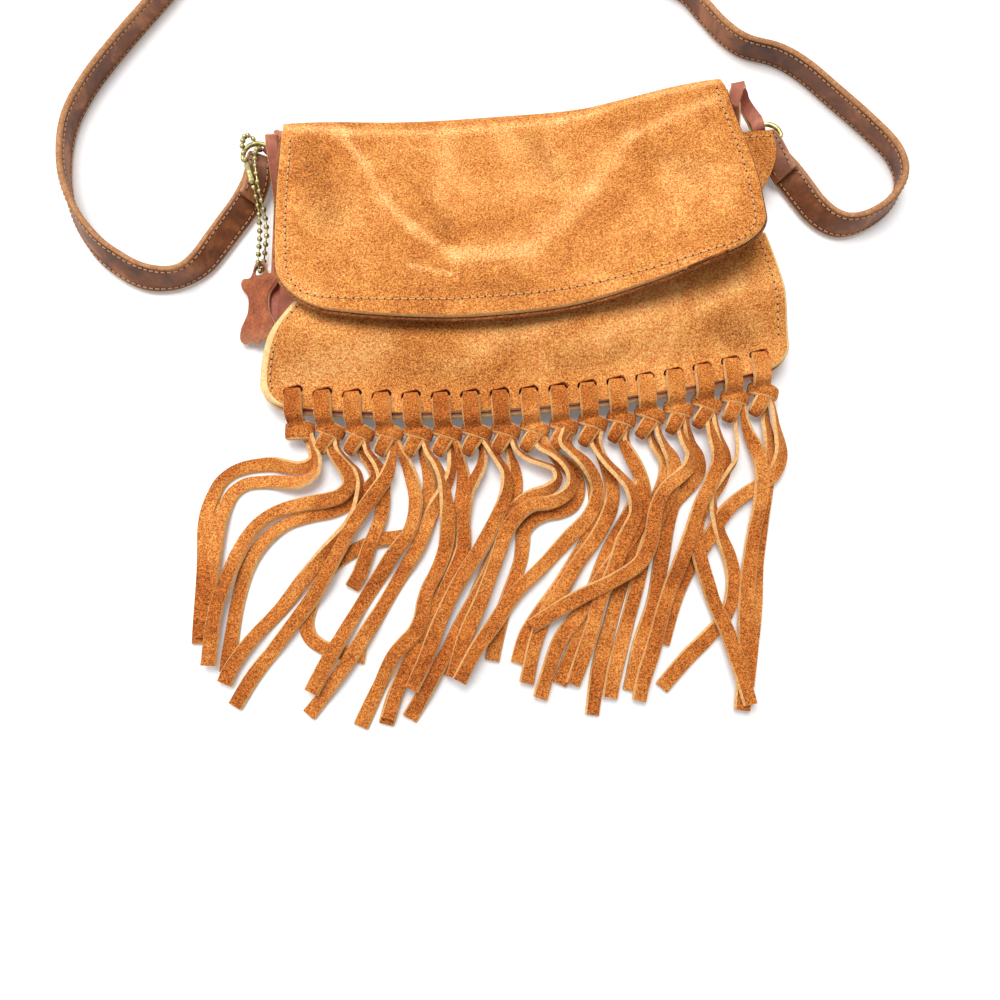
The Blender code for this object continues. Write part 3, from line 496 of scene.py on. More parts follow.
def cut(target, tool):
    """Cuts the tool out of the target for good."""
    change = target.modifiers.new("cut", "BOOLEAN")
    change.operation = "DIFFERENCE"
    change.object = tool
    bpy.context.view_layer.update()
    graph = bpy.context.evaluated_depsgraph_get()
    mesh = bpy.data.meshes.new_from_object(target.evaluated_get(graph))
    target.modifiers.clear()
    target.data = mesh


# Rings, as in the part

RINGS = {
    "left": {"bar": (-110.2, 60.2, 7.2), "strap": (-0.3, -0.954), "side": 1},
    "right": {"bar": (117.4, 51.4, 7.2), "strap": (0.5, -0.866), "side": -1},
}
RING_LEAN = math.radians(70)
RING_RADIUS = 7.6
BAR_OFFSET = 3.2
WIRE = 2.1


def ring_axes(which):
    """Bar middle, direction from the bar to the bow, and direction of the bar."""
    spec = RINGS[which]
    away = np.array([*spec["strap"], 0.0])
    bar = beside(away) * spec["side"] * math.sin(RING_LEAN) + UP * math.cos(RING_LEAN)
    return np.array(spec["bar"]), -away, bar


def ring_point(which, angle):
    bar_middle, back, bar = ring_axes(which)
    centre = bar_middle + back * BAR_OFFSET
    return centre + RING_RADIUS * (math.cos(angle) * bar + math.sin(angle) * back)


FOLD_BLEND = 12.0
FOLD_START = 1.5


def folded_end(middles, sides, radius, tail, pitch):
    """Folds a band's first end round a rod at its first point: returns the new
    middles and sides, with the tail lying one pitch above the band."""
    course = headings(middles)
    normals = [unit(np.cross(side, head)) for side, head in zip(sides, course)]
    walked = walk(middles)
    legs = [m - n * radius * (1.0 - smooth(w / FOLD_BLEND))
            for m, n, w in zip(middles, normals, walked)]
    over = [(m + n * mix(radius, pitch, smooth(w / FOLD_BLEND)), s)
            for m, n, s, w in zip(middles, normals, sides, walked) if FOLD_START < w <= tail]
    turn = []
    for angle in range(180, -1, -20):
        a = math.radians(angle)
        reach = -normals[0] * math.cos(a) - course[0] * math.sin(a)
        turn.append((middles[0] + radius * reach, sides[0]))
    start = list(reversed(over)) + turn
    kept = [i for i, w in enumerate(walked) if w > FOLD_START]
    return ([m for m, _ in start] + [legs[i] for i in kept],
            [s for _, s in start] + [sides[i] for i in kept])


# Shoulder strap, a band from the left ring to the right one: (x, y, lean)

STRAP_WIDTH = 12.4
STRAP_END_WIDTH = 10.8
STRAP_THICK = 2.6
STRAP_AT_RING = 18.0
STRAP_WIDENS = (34.0, 10.0)
STRAP_FOLD_RADIUS = 3.8
STRAP_FOLD_TAIL = 17.0
STRAP_SEAM_INSET = 1.9
STRAP_STITCH_PITCH = 2.7
STRAP_STITCH_RADIUS = 0.26
STRAP_ROUTE = [
    (-112.6, 51.5, 52), (-117.8, 41.5, 44), (-124, 32.5, 38), (-130, 24, 34), (-136, 16, 24),
    (-143, 11, 12), (-151, 9.5, 22), (-161, 11.5, 38), (-171, 17.5, 40), (-182, 28, 32),
    (-192, 45, 20), (-197, 65, 10), (-196, 88, 5), (-188, 108, 5), (-174, 129, 5),
    (-154, 155, 5), (-140, 174, 4), (-123, 193, 0), (-102, 208, 0), (-78, 216, 0),
    (-48, 219, 0), (-18, 219, 0), (12, 218, 0), (38, 216, 0), (56, 210, 0), (64, 199, 0),
    (57, 188, 0), (40, 184, 0), (14, 184, 0), (-13, 184, 0), (-38, 184, 0), (-56, 180, 0),
    (-63, 169, 0), (-56, 159, 0), (-38, 155, 0), (-10, 154, 0), (18, 153.5, 0), (42, 153, 0),
    (62, 152, 0), (78, 148, 0), (91, 138, 0), (98, 127, 0), (106, 114, 0), (115, 105, 0),
    (129, 99, 0), (140, 90, 0), (152, 75, 0), (165, 58, 2), (173.5, 44, 5), (174.5, 31, 8),
    (167, 19.5, 10), (156, 12.5, 12), (146, 10.5, 18), (139, 13.5, 24), (133.5, 20, 30),
    (130, 27, 36), (127, 33.5, 42), (122.8, 41.5, 52),
]
STRAP_PROFILE = [(-1, 0.7, -0.5), (-0.5, 0, -0.5), (0.5, 0, -0.5), (1, -0.7, -0.5),
                 (1, -0.1, -0.3), (1, 0.1, 0), (1, -0.1, 0.3), (1, -0.7, 0.5), (0.5, 0, 0.5),
                 (-0.5, 0, 0.5), (-1, 0.7, 0.5), (-1, 0.1, 0.3), (-1, -0.1, 0), (-1, 0.1, -0.3)]
STRAP_SLOTS = [0, 0, 0, 1, 1, 1, 1, 0, 0, 0, 1, 1, 1, 1]


def make_strap():
    starts = {which: (*RINGS[which]["bar"][:2], math.degrees(RING_LEAN)) for which in RINGS}
    path = spline([starts["left"]] + STRAP_ROUTE + [starts["right"]], 1.5)
    flat = [np.array([x, y, 0.0]) for x, y, _ in path]
    walked = walk(flat)
    middles = []
    sides = []
    for (x, y, lean), head, w in zip(path, headings(flat), walked):
        a = math.radians(lean)
        rise = STRAP_WIDTH / 2 * math.cos(a) + STRAP_THICK / 2 * math.sin(a) + 0.25
        for which, near in (("left", w), ("right", walked[-1] - w)):
            if near < STRAP_AT_RING:
                rise = mix(RINGS[which]["bar"][2], rise, smooth(near / STRAP_AT_RING))
        middles.append(np.array([x, y, rise]))
        sides.append(beside(head) * math.sin(a) + UP * math.cos(a))
    centre = [tuple(m * MM) for m in middles]
    fold = (STRAP_FOLD_RADIUS, STRAP_FOLD_TAIL, STRAP_THICK + 0.5)
    middles, sides = folded_end(middles, sides, *fold)
    middles, sides = folded_end(middles[::-1], [-s for s in sides[::-1]], *fold)
    walked = walk(middles)
    start, over = STRAP_WIDENS
    halves = [mix(STRAP_END_WIDTH, STRAP_WIDTH, smooth((min(w, walked[-1] - w) - start) / over)) / 2
              for w in walked]
    course = headings(middles)
    for middle, side, head, half in zip(middles, sides, course, halves):
        reach = half * abs(side[2]) + STRAP_THICK / 2 * abs(np.cross(side, head)[2]) + 0.2
        middle[2] = max(middle[2], reach)
    strap = Piece(STRAP, STRAP_EDGE, PALE_THREAD, HOLE_SHADE_LOOK)
    strap.sweep(middles, sides, halves, STRAP_THICK, STRAP_PROFILE, STRAP_SLOTS)
    for face in (1, -1):
        for edge in (1, -1):
            line = []
            ups = []
            for middle, side, head, half in zip(middles, sides, course, halves):
                side = unit(side - head * side.dot(head))
                up = np.cross(side, head) * face
                line.append(middle + side * edge * (half - STRAP_SEAM_INSET)
                            + up * (STRAP_THICK / 2 + 0.02))
                ups.append(up)
            strap.stitches(line[2:-2], ups[2:-2], 2, STRAP_STITCH_PITCH, STRAP_STITCH_RADIUS)
    made = strap.build("strap_leather", "bag", "strap", "shoulder_strap")
    length = float(walk(centre)[-1])
    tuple(centre[0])


make_strap()


# Body outline and heights, as in the part

SUEDE_THICK = 1.8
HALF_WIDTH = 111.0
TOP_HALF_WIDTH = 104.0
CORNER_RADIUS = 14.0
HEM_Y = -57.0
HEM_SAG = 8.0
BACK_TOP_Y = 68.0
BACK_TOP_RISE = 8.7
CURL_LENGTH = 16.0
BACK_HEM_Z = 8.1
HEM_GAP = 0.3
FRONT_SHORT = 1.9
HEM_RISE_LENGTH = 18.0
FRONT_RISE_LENGTH = 24.0
FRONT_TOP_Y = (-12.0, 3.0)
FRONT_TOP_X = (94.0, 105.0)
FRONT_SIDE_Z = 19.0
FRONT_MIDDLE_Z = 16.5
GUSSET_THICK = 1.4
FLANGE = 4.5
GUSSET_TOP_X = 92.0
EAR_REACH = 23.0
CORNER_LIFT = 8.5
SEAM_GAP = 0.9
CLEARANCE = 0.3
FLAP_SUEDE = 1.6
LINING_THICK = 1.2
FLAP_TOP_HALF = 92.0
FLAP_TOP_LEFT = 3.2
FLAP_HALF = 99.0
FLAP_CORNER = 20.0
FLAP_CORNER_Y = 2.0
FLAP_EDGE_Y = -27.5
FLAP_EDGE_BOW = 15.0
FLAP_MIDDLE_X = -12.0
HINGE_Y = 68.5
HINGE_Z = 12.4
HINGE_GAP = 1.2
SLOT_SPAN = 97.0
FRINGES = 17


def hem_shift(x):
    return HEM_SAG * (x / SLOT_SPAN) ** 2


def back_z(x, y):
    level = y - hem_shift(x)
    hem = 1.0 - smooth((level + 56.0) / HEM_RISE_LENGTH)
    curl = smooth((y - BACK_TOP_Y + CURL_LENGTH) / CURL_LENGTH)
    corner = min(max((abs(x) - FLAP_TOP_HALF) / 10.0, 0.0), 1.0) * smooth((y - 40.0) / 18.0)
    rise = BACK_TOP_RISE * curl + CORNER_LIFT * corner
    return SUEDE_THICK / 2 + (BACK_HEM_Z - SUEDE_THICK / 2) * hem + rise


def front_z(x, y):
    level = y - hem_shift(x)
    low = BACK_HEM_Z + SUEDE_THICK + HEM_GAP
    high = mix(FRONT_MIDDLE_Z, FRONT_SIDE_Z, min(1.0, (x / 95.0) ** 2))
    return mix(low, high, smooth((level + 54.0) / FRONT_RISE_LENGTH))


def corner_level(share):
    """Level and inset at a share of the way up the rounded lower corner."""
    angle = math.pi / 2 * (1.0 - share)
    return (HEM_Y + CORNER_RADIUS * (1.0 - math.sin(angle)),
            CORNER_RADIUS * (1.0 - math.cos(angle)))


def back_half_width(y):
    start = HEM_Y + CORNER_RADIUS
    return mix(HALF_WIDTH, TOP_HALF_WIDTH, (y - start) / (BACK_TOP_Y - start))


def back_place(u, v):
    if v <= 0.3:
        share = v / 0.3
        level, inset = corner_level(share)
        x = (2 * u - 1) * (HALF_WIDTH - inset)
        y = level - (HEM_SAG - hem_shift(x)) * (1.0 - share)
    else:
        y = mix(HEM_Y + CORNER_RADIUS, BACK_TOP_Y, (v - 0.3) / 0.7)
        x = (2 * u - 1) * back_half_width(y)
    return (x, y, back_z(x, y))


def front_edge_x(y, side):
    bottom = HEM_Y + CORNER_RADIUS
    end_y, end_x = FRONT_TOP_Y[side > 0], FRONT_TOP_X[side > 0]
    t = (y - bottom) / (end_y - bottom)
    if t <= 1.0:
        return mix(HALF_WIDTH, end_x, max(t, 0.0) ** 1.7)
    return mix(end_x, GUSSET_TOP_X, smooth((t - 1.0) / 1.2))


def front_place(u, v):
    if v <= 0.45:
        share = v / 0.45
        level, inset = corner_level(share)
        x = (2 * u - 1) * (HALF_WIDTH - inset)
        y = level - (HEM_SAG - hem_shift(x) - FRONT_SHORT) * (1.0 - share)
    else:
        y = mix(HEM_Y + CORNER_RADIUS, mix(*FRONT_TOP_Y, u), (v - 0.45) / 0.55)
        x = mix(-front_edge_x(y, -1), front_edge_x(y, 1), u)
    return (x, y, front_z(x, y))


def slot_x(index):
    return -SLOT_SPAN + 2.0 * SLOT_SPAN * index / (FRINGES - 1)


def slot_y(index):
    return HEM_Y - HEM_SAG + 9.0 + hem_shift(slot_x(index))


SLOT_RADIUS = 1.6
SLOT_STRETCH = 2.6
SLOT_BOW = 1.1
SLOT_TURN = math.radians(8)


def slot_cutter():
    """Round-ended prisms, one for each strip, through both hem layers."""
    bm = bmesh.new()
    for index in range(FRINGES):
        ring = bmesh.ops.create_cone(bm, cap_ends=True, segments=20, radius1=SLOT_RADIUS,
                                     radius2=SLOT_RADIUS, depth=20.0)
        for vertex in ring["verts"]:
            vertex.co.x += math.copysign(SLOT_STRETCH, vertex.co.x)
            bow = SLOT_BOW * (1.0 - (vertex.co.x / (SLOT_RADIUS + SLOT_STRETCH)) ** 2)
            x, y = turned(vertex.co.x, vertex.co.y + bow, SLOT_TURN)
            vertex.co = (slot_x(index) + x, slot_y(index) + y, vertex.co.z + BACK_HEM_Z)
            vertex.co *= MM
    return place_mesh("slot_cutter", bm)


def wander(scale, depth, seed):
    """A soft unevenness of the leather, scale in millimetres."""
    def lift(x, y):
        return depth * noise.noise(Vector((x / scale, y / scale, seed)))
    return lift


def strokes(*rows):
    """Painted highlights (positive strength) and painted shade (negative strength) along soft
    folds in the suede: each row is a line from (x, y) to (x, y), its half width and its strength."""
    def wear_and_light(x, y):
        total = 0.0
        for x0, y0, x1, y1, width, amount in rows:
            run_x, run_y = x1 - x0, y1 - y0
            share = ((x - x0) * run_x + (y - y0) * run_y) / (run_x ** 2 + run_y ** 2)
            share = min(max(share, 0.0), 1.0)
            far = math.hypot(x - x0 - share * run_x, y - y0 - share * run_y) / width
            total += amount * math.exp(-far * far)
        return min(max(total, -1.0), 1.0)
    return wear_and_light


# Painted highlights and painted shade of the front panel's soft folds.
FRONT_FOLD_LIGHT = strokes(
    (-97.9, -43.2, -59.3, -33.4, 6.9, 0.4), (-18.5, -36.4, 15.3, -26.5, 5.4, 0.35),
    (30.9, -38.0, 52.4, -27.6, 3.9, 0.4), (90.7, -18.1, 72.9, -29.4, 3.1, 0.45),
    (79.0, -33.5, 91.7, -41.5, 5.4, -0.5), (-52.2, -43.3, -19.5, -47.7, 5.4, -0.25),
    (13.8, -46.3, 39.0, -42.3, 4.6, -0.25),
)
# Painted highlights and painted shade of the flap's soft folds; the same strokes also lift the
# flap's surface.
FLAP_FOLD_LIGHT = strokes(
    (-93.7, 65.2, -68.7, 62.1, 2.7, 0.7), (-72.4, 63.5, -60.6, 46.2, 1.9, 0.6),
    (-60.6, 46.2, -53.0, 27.8, 1.9, 0.45), (-53.0, 27.8, -42.4, 14.6, 2.3, 0.55),
    (-42.4, 14.6, -25.4, 0.3, 2.7, 0.5), (-25.4, 0.3, 0.5, -0.1, 4.2, 0.6),
    (-44.8, -3.2, -26.0, -9.2, 1.2, 0.5), (-68.7, 62.1, 24.2, 63.8, 1.9, 0.6),
    (24.2, 63.8, 88.2, 65.8, 2.3, 0.6), (88.1, 56.2, 51.8, 47.9, 2.7, 0.45),
    (51.8, 47.9, 33.0, 27.0, 3.5, 0.4), (33.0, 27.0, 5.1, 0.5, 4.6, 0.45),
    (-24.1, 61.8, -30.4, 28.8, 4.6, 0.35), (-83.6, 51.5, -76.1, 22.4, 6.9, -0.5),
    (-32.9, 21.2, -27.4, 8.3, 4.6, -0.45), (-14.6, -14.3, -0.7, -18.6, 3.1, -0.5),
    (10.4, 56.5, 21.2, 34.6, 5.4, -0.3), (55.0, 40.8, 76.4, 24.8, 6.2, -0.3),
    (45.5, 63.9, 57.5, 62.2, 3.1, -0.35),
)


SAMPLE = 0.004
FRONT_SEAM = (0.022, 0.978)
GUSSET_SEAM = 0.965
FLAP_SEAM_INSET = 4.6
FLAP_SEAM_CORNER = (0.035, 0.05)


def surface_line(place, thickness, spots):
    """Points and normals on the upper face of a sheet, at (u, v) spots."""
    line = []
    ups = []
    for u, v in spots:
        here = np.array(place(u, v))
        du = np.array(place(min(u + SAMPLE, 1), v)) - np.array(place(max(u - SAMPLE, 0), v))
        dv = np.array(place(u, min(v + SAMPLE, 1))) - np.array(place(u, max(v - SAMPLE, 0)))
        up = unit(np.cross(du, dv))
        if up[2] < 0:
            up = -up
        line.append(here + up * thickness / 2)
        ups.append(up)
    return line, ups


def make_panels():
    tool = slot_cutter()
    back = Piece(GUSSET, SUEDE, CREAM_EDGE)
    back.sheet(110, 84, back_place, SUEDE_THICK, (1.0, 1.0, 3.6, 0.5))
    made = back.build("back_suede", "bag", "suede", "back_panel")
    cut(made, tool)
    front = Piece(SUEDE, FLESH, CREAM_EDGE)
    # Paints highlights and shade of folds on the front panel.
    front.painted_light = FRONT_FOLD_LIGHT
    front.sheet(170, 74, front_place, SUEDE_THICK, (3.4, 1.5, 0.9, 0.5), wander(34.0, 0.5, 3.0))
    made = front.build("front_suede", "bag", "suede", "front_panel")
    cut(made, tool)
    bpy.data.objects.remove(tool, do_unlink=True)
    seam = Piece(THREAD, HOLE_SHADE_LOOK)
    for edge in FRONT_SEAM:
        spots = [(edge, mix(0.3, 0.98, i / 60)) for i in range(61)]
        seam.stitches(*surface_line(front_place, SUEDE_THICK, spots), 0)
    seam.build("front_stitches", "bag", "suede")


make_panels()


# Side gussets, folded out to a flange along the back and the front

def gusset_place(side):
    def place(u, v):
        y = mix(-36.5, 54.0 if side > 0 else 66.0, v)
        edge = back_half_width(y) - 0.5
        low = back_z(edge, y) + SUEDE_THICK / 2 + SEAM_GAP + GUSSET_THICK / 2
        rim = front_edge_x(y, side) - 0.5
        high = front_z(rim, y) - SUEDE_THICK / 2 - SEAM_GAP - GUSSET_THICK / 2
        ear = smooth((y - 8.0) / 40.0) if side > 0 else 0.0
        step = min(1.5, (high - low) * 0.4)
        middle = mix(edge, rim, 0.5) - FLANGE + ear * EAR_REACH
        points = ((edge, low), (edge - FLANGE, low), (edge - FLANGE - 1.1, low + step),
                  (middle, mix(low, high, 0.5 + 0.25 * ear)),
                  (rim - FLANGE - 1.1, high - step), (rim - FLANGE, high), (rim, high))
        i = min(int(u * 6.0), 5)
        near = [np.array(points[min(max(i + k, 0), 6)]) for k in (-1, 0, 1, 2)]
        x, z = between(*near, u * 6.0 - i)
        return (side * x, y, z)
    return place


def make_gussets():
    for name, side, look in (("left_gusset", -1, GUSSET), ("right_gusset", 1, SUEDE)):
        piece = Piece(look, GUSSET, EDGE, THREAD, HOLE_SHADE_LOOK)
        piece.sheet(42, 96, gusset_place(side), GUSSET_THICK, (0.5, 0.5, 0.5, 0.5))
        if side > 0:
            spots = [(mix(0.30, 0.97, i / 30), GUSSET_SEAM) for i in range(31)]
            piece.stitches(*surface_line(gusset_place(side), GUSSET_THICK, spots), 3)
        piece.build(name + "_skin", "bag", "gusset", name)


make_gussets()


# Flap: outer suede with a stitch row, and a darker lining under it

FLAP_ROWS = np.array([
    (HINGE_Y, 0.0, 0.0), (HINGE_Y + 0.9, 0.45, 0.0), (HINGE_Y - 1.0, 0.85, 0.0),
    (HINGE_Y - 6.5, 1.0, 0.0), (50.0, 1.0, 0.0), (36.0, 1.0, 0.0), (20.0, 1.0, 0.0),
    (FLAP_CORNER_Y, 1.0, 0.0), (FLAP_CORNER_Y, 1.0, 0.25), (FLAP_CORNER_Y, 1.0, 0.5),
    (FLAP_CORNER_Y, 1.0, 0.75), (FLAP_CORNER_Y, 1.0, 1.0),
])


def flap_height(x, y):
    along = smooth((60.0 - y) / 85.0)
    left = smooth((-x - 20.0) / 72.0)
    right = smooth((x - 15.0) / 78.0)
    return mix(16.5, 25.0, along) + mix(7.5, 1.5, along) * left + mix(17.0, 11.5, along) * right


def flap_place(spread, sink, first=0.0):
    last = len(FLAP_ROWS) - 1
    along = np.arange(last + 1)

    def place(u, v):
        row = mix(first, last, v)
        y, rise, turn = (np.interp(row, along, FLAP_ROWS[:, k]) for k in range(3))
        half = mix(FLAP_TOP_HALF, FLAP_HALF, smooth((HINGE_Y - y) / 55.0)) + spread
        if u < 0.5:
            half += FLAP_TOP_LEFT * smooth((y - 15.0) / 45.0)
        angle = math.pi / 2 * turn
        radius = FLAP_CORNER + spread
        x = (2 * u - 1) * (half - radius * (1.0 - math.cos(angle)))
        bow = FLAP_EDGE_BOW * ((x - FLAP_MIDDLE_X) / 95.0) ** 2
        low = FLAP_EDGE_Y + bow - (FLAP_CORNER_Y - FLAP_CORNER)
        y = y - radius * math.sin(angle) + turn * low
        return (x, y, mix(HINGE_Z + HINGE_GAP, flap_height(x, y), rise) - sink)
    return place


def make_flap():
    sink = FLAP_SUEDE / 2 + CLEARANCE + LINING_THICK / 2 + 0.2
    ripple = wander(30.0, 0.8, 7.0)

    def relief(x, y):
        return (ripple(x, y) + 0.4 * FLAP_FOLD_LIGHT(x, y)) * smooth((62.0 - y) / 25.0)
    outer = Piece(SUEDE, FLESH, EDGE)
    # Paints highlights and shade of folds on the flap.
    outer.painted_light = FLAP_FOLD_LIGHT
    outer.sheet(180, 150, flap_place(0.0, 0.0), FLAP_SUEDE, (0.7, 0.7, 0.0, 1.8), relief)
    outer.build("flap_suede", "flap", "suede", "flap")
    lining = Piece(LINING, LINING, LINING)
    lining.sheet(120, 90, flap_place(1.2, sink, 3.0), LINING_THICK, (0.3, 0.3, 0.0, 0.4), relief)
    lining.build("flap_under", "flap", "lining", "flap_lining")
    side = FLAP_SEAM_INSET / (2 * FLAP_HALF)
    low = (7.0 + 4.0 * 0.60) / 11.0
    wide, high = FLAP_SEAM_CORNER
    spots = [(side, mix(0.28, low - high, i / 60)) for i in range(61)]
    for i in range(1, 12):
        a = math.pi / 2 * i / 12
        spots.append((side + wide * (1 - math.cos(a)), low - high * (1 - math.sin(a))))
    right = [(1 - u, v) for u, v in reversed(spots)]
    half = spots[-1][0]
    spots += [(mix(half, 1 - half, i / 120), low) for i in range(121)] + right
    line, ups = surface_line(flap_place(0.0, 0.0), FLAP_SUEDE, spots)
    seam = Piece(THREAD, HOLE_SHADE_LOOK)
    seam.stitches([p + up * relief(p[0], p[1]) for p, up in zip(line, ups)], ups, 0)
    seam.build("flap_stitches", "flap", "suede")


make_flap()


# Fringe: two tails from each knot, lying over one another on the surface

TAIL_ROUTES = {
    "01a": [(-91, -75), (-98, -79), (-108, -76), (-120, -76), (-129, -80), (-134, -88),
            (-137, -99), (-138, -118), (-140, -151)],
    "01b": [(-89.5, -76), (-91, -82), (-98, -85), (-111, -83), (-122, -84), (-128, -91),
            (-131, -101), (-133, -114), (-135, -130), (-138, -147)],
    "02a": [(-83, -74), (-78, -81), (-76, -88), (-82, -93), (-94, -94), (-106, -96),
            (-115, -101), (-122, -110), (-127, -122), (-132, -136), (-135, -158)],
    "02b": [(-80, -74), (-73, -83), (-73, -92), (-77, -103), (-87, -114), (-96, -124),
            (-107, -136), (-117, -146), (-126, -157), (-131, -167)],
    "03a": [(-71, -75), (-66, -82), (-67, -87), (-74, -92), (-83, -97), (-95, -99),
            (-105, -102), (-114, -109), (-120, -118), (-124, -131), (-127, -147), (-129, -159)],
    "03b": [(-68, -75), (-63, -83), (-63, -93), (-65, -103), (-70, -114), (-74, -124),
            (-78, -130)],
    "04a": [(-58, -76), (-61, -86), (-68, -95), (-76, -105), (-84, -118), (-90, -128),
            (-98, -138), (-109, -151), (-118, -161), (-127, -174)],
    "04b": [(-55, -76), (-52, -84), (-50, -97), (-53, -109), (-61, -119), (-71, -132),
            (-80, -145), (-88, -158), (-97, -173)],
    "05a": [(-46, -78), (-44, -88), (-47, -101), (-54, -110), (-65, -111), (-77, -115),
            (-87, -122), (-94, -133), (-97, -144), (-93, -151), (-84, -155), (-72, -158)],
    "05b": [(-43, -78), (-39, -85), (-37, -98), (-38, -112), (-42, -124), (-48, -135),
            (-52, -148), (-62, -158), (-70, -171), (-77, -184)],
    "06a": [(-34, -78), (-35, -88), (-43, -101), (-50, -115), (-59, -128), (-69, -143),
            (-79, -157), (-88, -168), (-97, -178)],
    "06b": [(-31, -78), (-30, -90), (-33, -104), (-37, -118), (-43, -134), (-50, -149),
            (-57, -162), (-63, -173), (-67, -184)],
    "07a": [(-21, -79), (-23, -86), (-28, -94), (-31, -106), (-32, -118), (-38, -130),
            (-46, -143), (-54, -157), (-61, -170), (-66, -182)],
    "07b": [(-17, -79), (-12, -88), (-13, -98), (-19, -109), (-26, -120), (-35, -132),
            (-43, -146), (-50, -161), (-58, -175)],
    "08a": [(-10, -79), (-8, -88), (-10, -100), (-14, -112), (-21, -124), (-29, -139),
            (-37, -154), (-44, -171)],
    "08b": [(-6, -80), (4, -86), (10, -90), (6, -96), (-3, -99), (-11, -105), (-17, -118),
            (-25, -133), (-35, -148), (-45, -164), (-60, -186)],
    "09a": [(2, -78), (9, -83), (14, -90), (14, -97), (7, -102), (-4, -103), (-13, -111),
            (-19, -124), (-26, -139), (-34, -154), (-41, -172)],
    "09b": [(6, -79), (16, -90), (17, -99), (12, -105), (3, -106), (-6, -111), (-9, -124),
            (-16, -140), (-21, -153), (-25, -167)],
    "10a": [(12, -78), (20, -87), (25, -97), (21, -108), (10, -118), (-1, -128), (-13, -138),
            (-21, -148), (-30, -159), (-37, -170)],
    "10b": [(15, -79), (23, -90), (24, -103), (21, -115), (13, -126), (4, -138), (-3, -146),
            (-10, -155), (-14, -165)],
    "11a": [(25, -79), (31, -89), (38, -99), (39, -110), (33, -120), (28, -131), (21, -143),
            (15, -158), (7, -175)],
    "11b": [(27, -80), (31, -93), (30, -105), (23, -117), (15, -126), (6, -138), (-2, -149),
            (-7, -160), (-11, -173)],
    "12a": [(37, -78), (41, -89), (44, -100), (41, -112), (32, -124), (22, -135), (14, -146),
            (4, -157), (-2, -169), (-7, -181)],
    "12b": [(39, -79), (43, -92), (40, -104), (32, -116), (25, -127), (18, -141), (12, -156),
            (6, -167), (0, -178)],
    "13a": [(50, -79), (55, -89), (52, -99), (45, -109), (38, -120), (32, -134), (25, -151),
            (18, -170), (13, -189)],
    "13b": [(53, -78), (58, -90), (55, -101), (48, -113), (42, -124), (36, -140), (30, -156),
            (24, -171), (20, -185)],
    "14a": [(62, -78), (65, -89), (60, -95), (52, -101), (47, -110), (44, -121), (38, -130),
            (27, -136), (14, -141), (3, -146), (-11, -153)],
    "14b": [(65, -77), (69, -90), (64, -99), (57, -105), (52, -116), (48, -129), (43, -145),
            (36, -160), (32, -172), (28, -183)],
    "15a": [(74, -77), (76, -89), (72, -98), (65, -109), (60, -120), (53, -134), (46, -149),
            (40, -164), (35, -175), (31, -187)],
    "15b": [(77, -76), (80, -88), (76, -99), (68, -108), (63, -118), (63, -130), (66, -146),
            (70, -161), (73, -176), (75, -190)],
    "16a": [(86, -75), (84, -89), (78, -97), (72, -106), (73, -119), (76, -131), (76, -141),
            (72, -152), (64, -160), (54, -168), (45, -176), (39, -182)],
    "16b": [(89, -75), (93, -91), (92, -104), (87, -120), (82, -138), (78, -156), (75, -175),
            (71, -194)],
    "17a": [(99, -74), (99, -88), (96, -101), (91, -116), (87, -132), (84, -148), (80, -164),
            (75, -183)],
    "17b": [(102, -74), (103, -88), (98, -98), (87, -104), (77, -111), (68, -122), (59, -133),
            (51, -146), (43, -166)],
}

# From the lowest strip to the one that lies on top
LAY_ORDER = ("01a 03a 05a 06b 08a 09b 10b 12b 13a 14b 16a 17a 01b 02b 03b 06a 07a 08b 11b 12a "
             "13b 17b 02a 04a 04b 05b 07b 09a 11a 16b 10a 15b 15a 14a").split()

STRIP = 1.5
LOOP_WIDTH = 7.6
KNOT_Z = 4.6
LAYER = STRIP + 0.6
KNOT_RADIUS = 4.2
KNOT_TOP = KNOT_Z + 3.3
OWN_KNOT = 14.0
TAIL_WIDTHS = (3.0, 5.2)
TAIL_STARTS = {"a": (0.8, 3.4), "b": (2.6, 5.8)}
FINE_STEP = 2.0
STRIDE = 3
STRIP_PROFILE = [(-1, 0, -0.5), (-0.4, 0, -0.5), (0.4, 0, -0.5), (1, 0, -0.5), (1, -0.55, 0.5),
                 (0.4, 0, 0.5), (-0.4, 0, 0.5), (-1, 0.55, 0.5)]
STRIP_SLOTS = [1, 1, 1, 2, 0, 0, 0, 2]


def knot_middle(index):
    x = slot_x(index) + (2.0 if index == 0 else 1.2)
    return np.array([x, HEM_Y - HEM_SAG - 7.2 + hem_shift(slot_x(index)), KNOT_Z])


def tail_halves(path):
    """Half widths along a tail, which is narrow at its knot and in tight bends."""
    last = len(path) - 1
    halves = []
    for i, b in enumerate(path):
        half = mix(*TAIL_WIDTHS, smooth((i * FINE_STEP - 5.0) / 12.0)) / 2
        a, c = path[max(i - 2, 0)], path[min(i + 2, last)]
        bend = abs((b - a)[0] * (c - b)[1] - (b - a)[1] * (c - b)[0])
        bend /= np.linalg.norm(b - a) * np.linalg.norm(c - b) + 1e-9
        if bend > 1e-6 and 2 <= i < last - 1:
            half = min(half, 0.8 * 2 * FINE_STEP / bend)
        halves.append(half)
    return halves


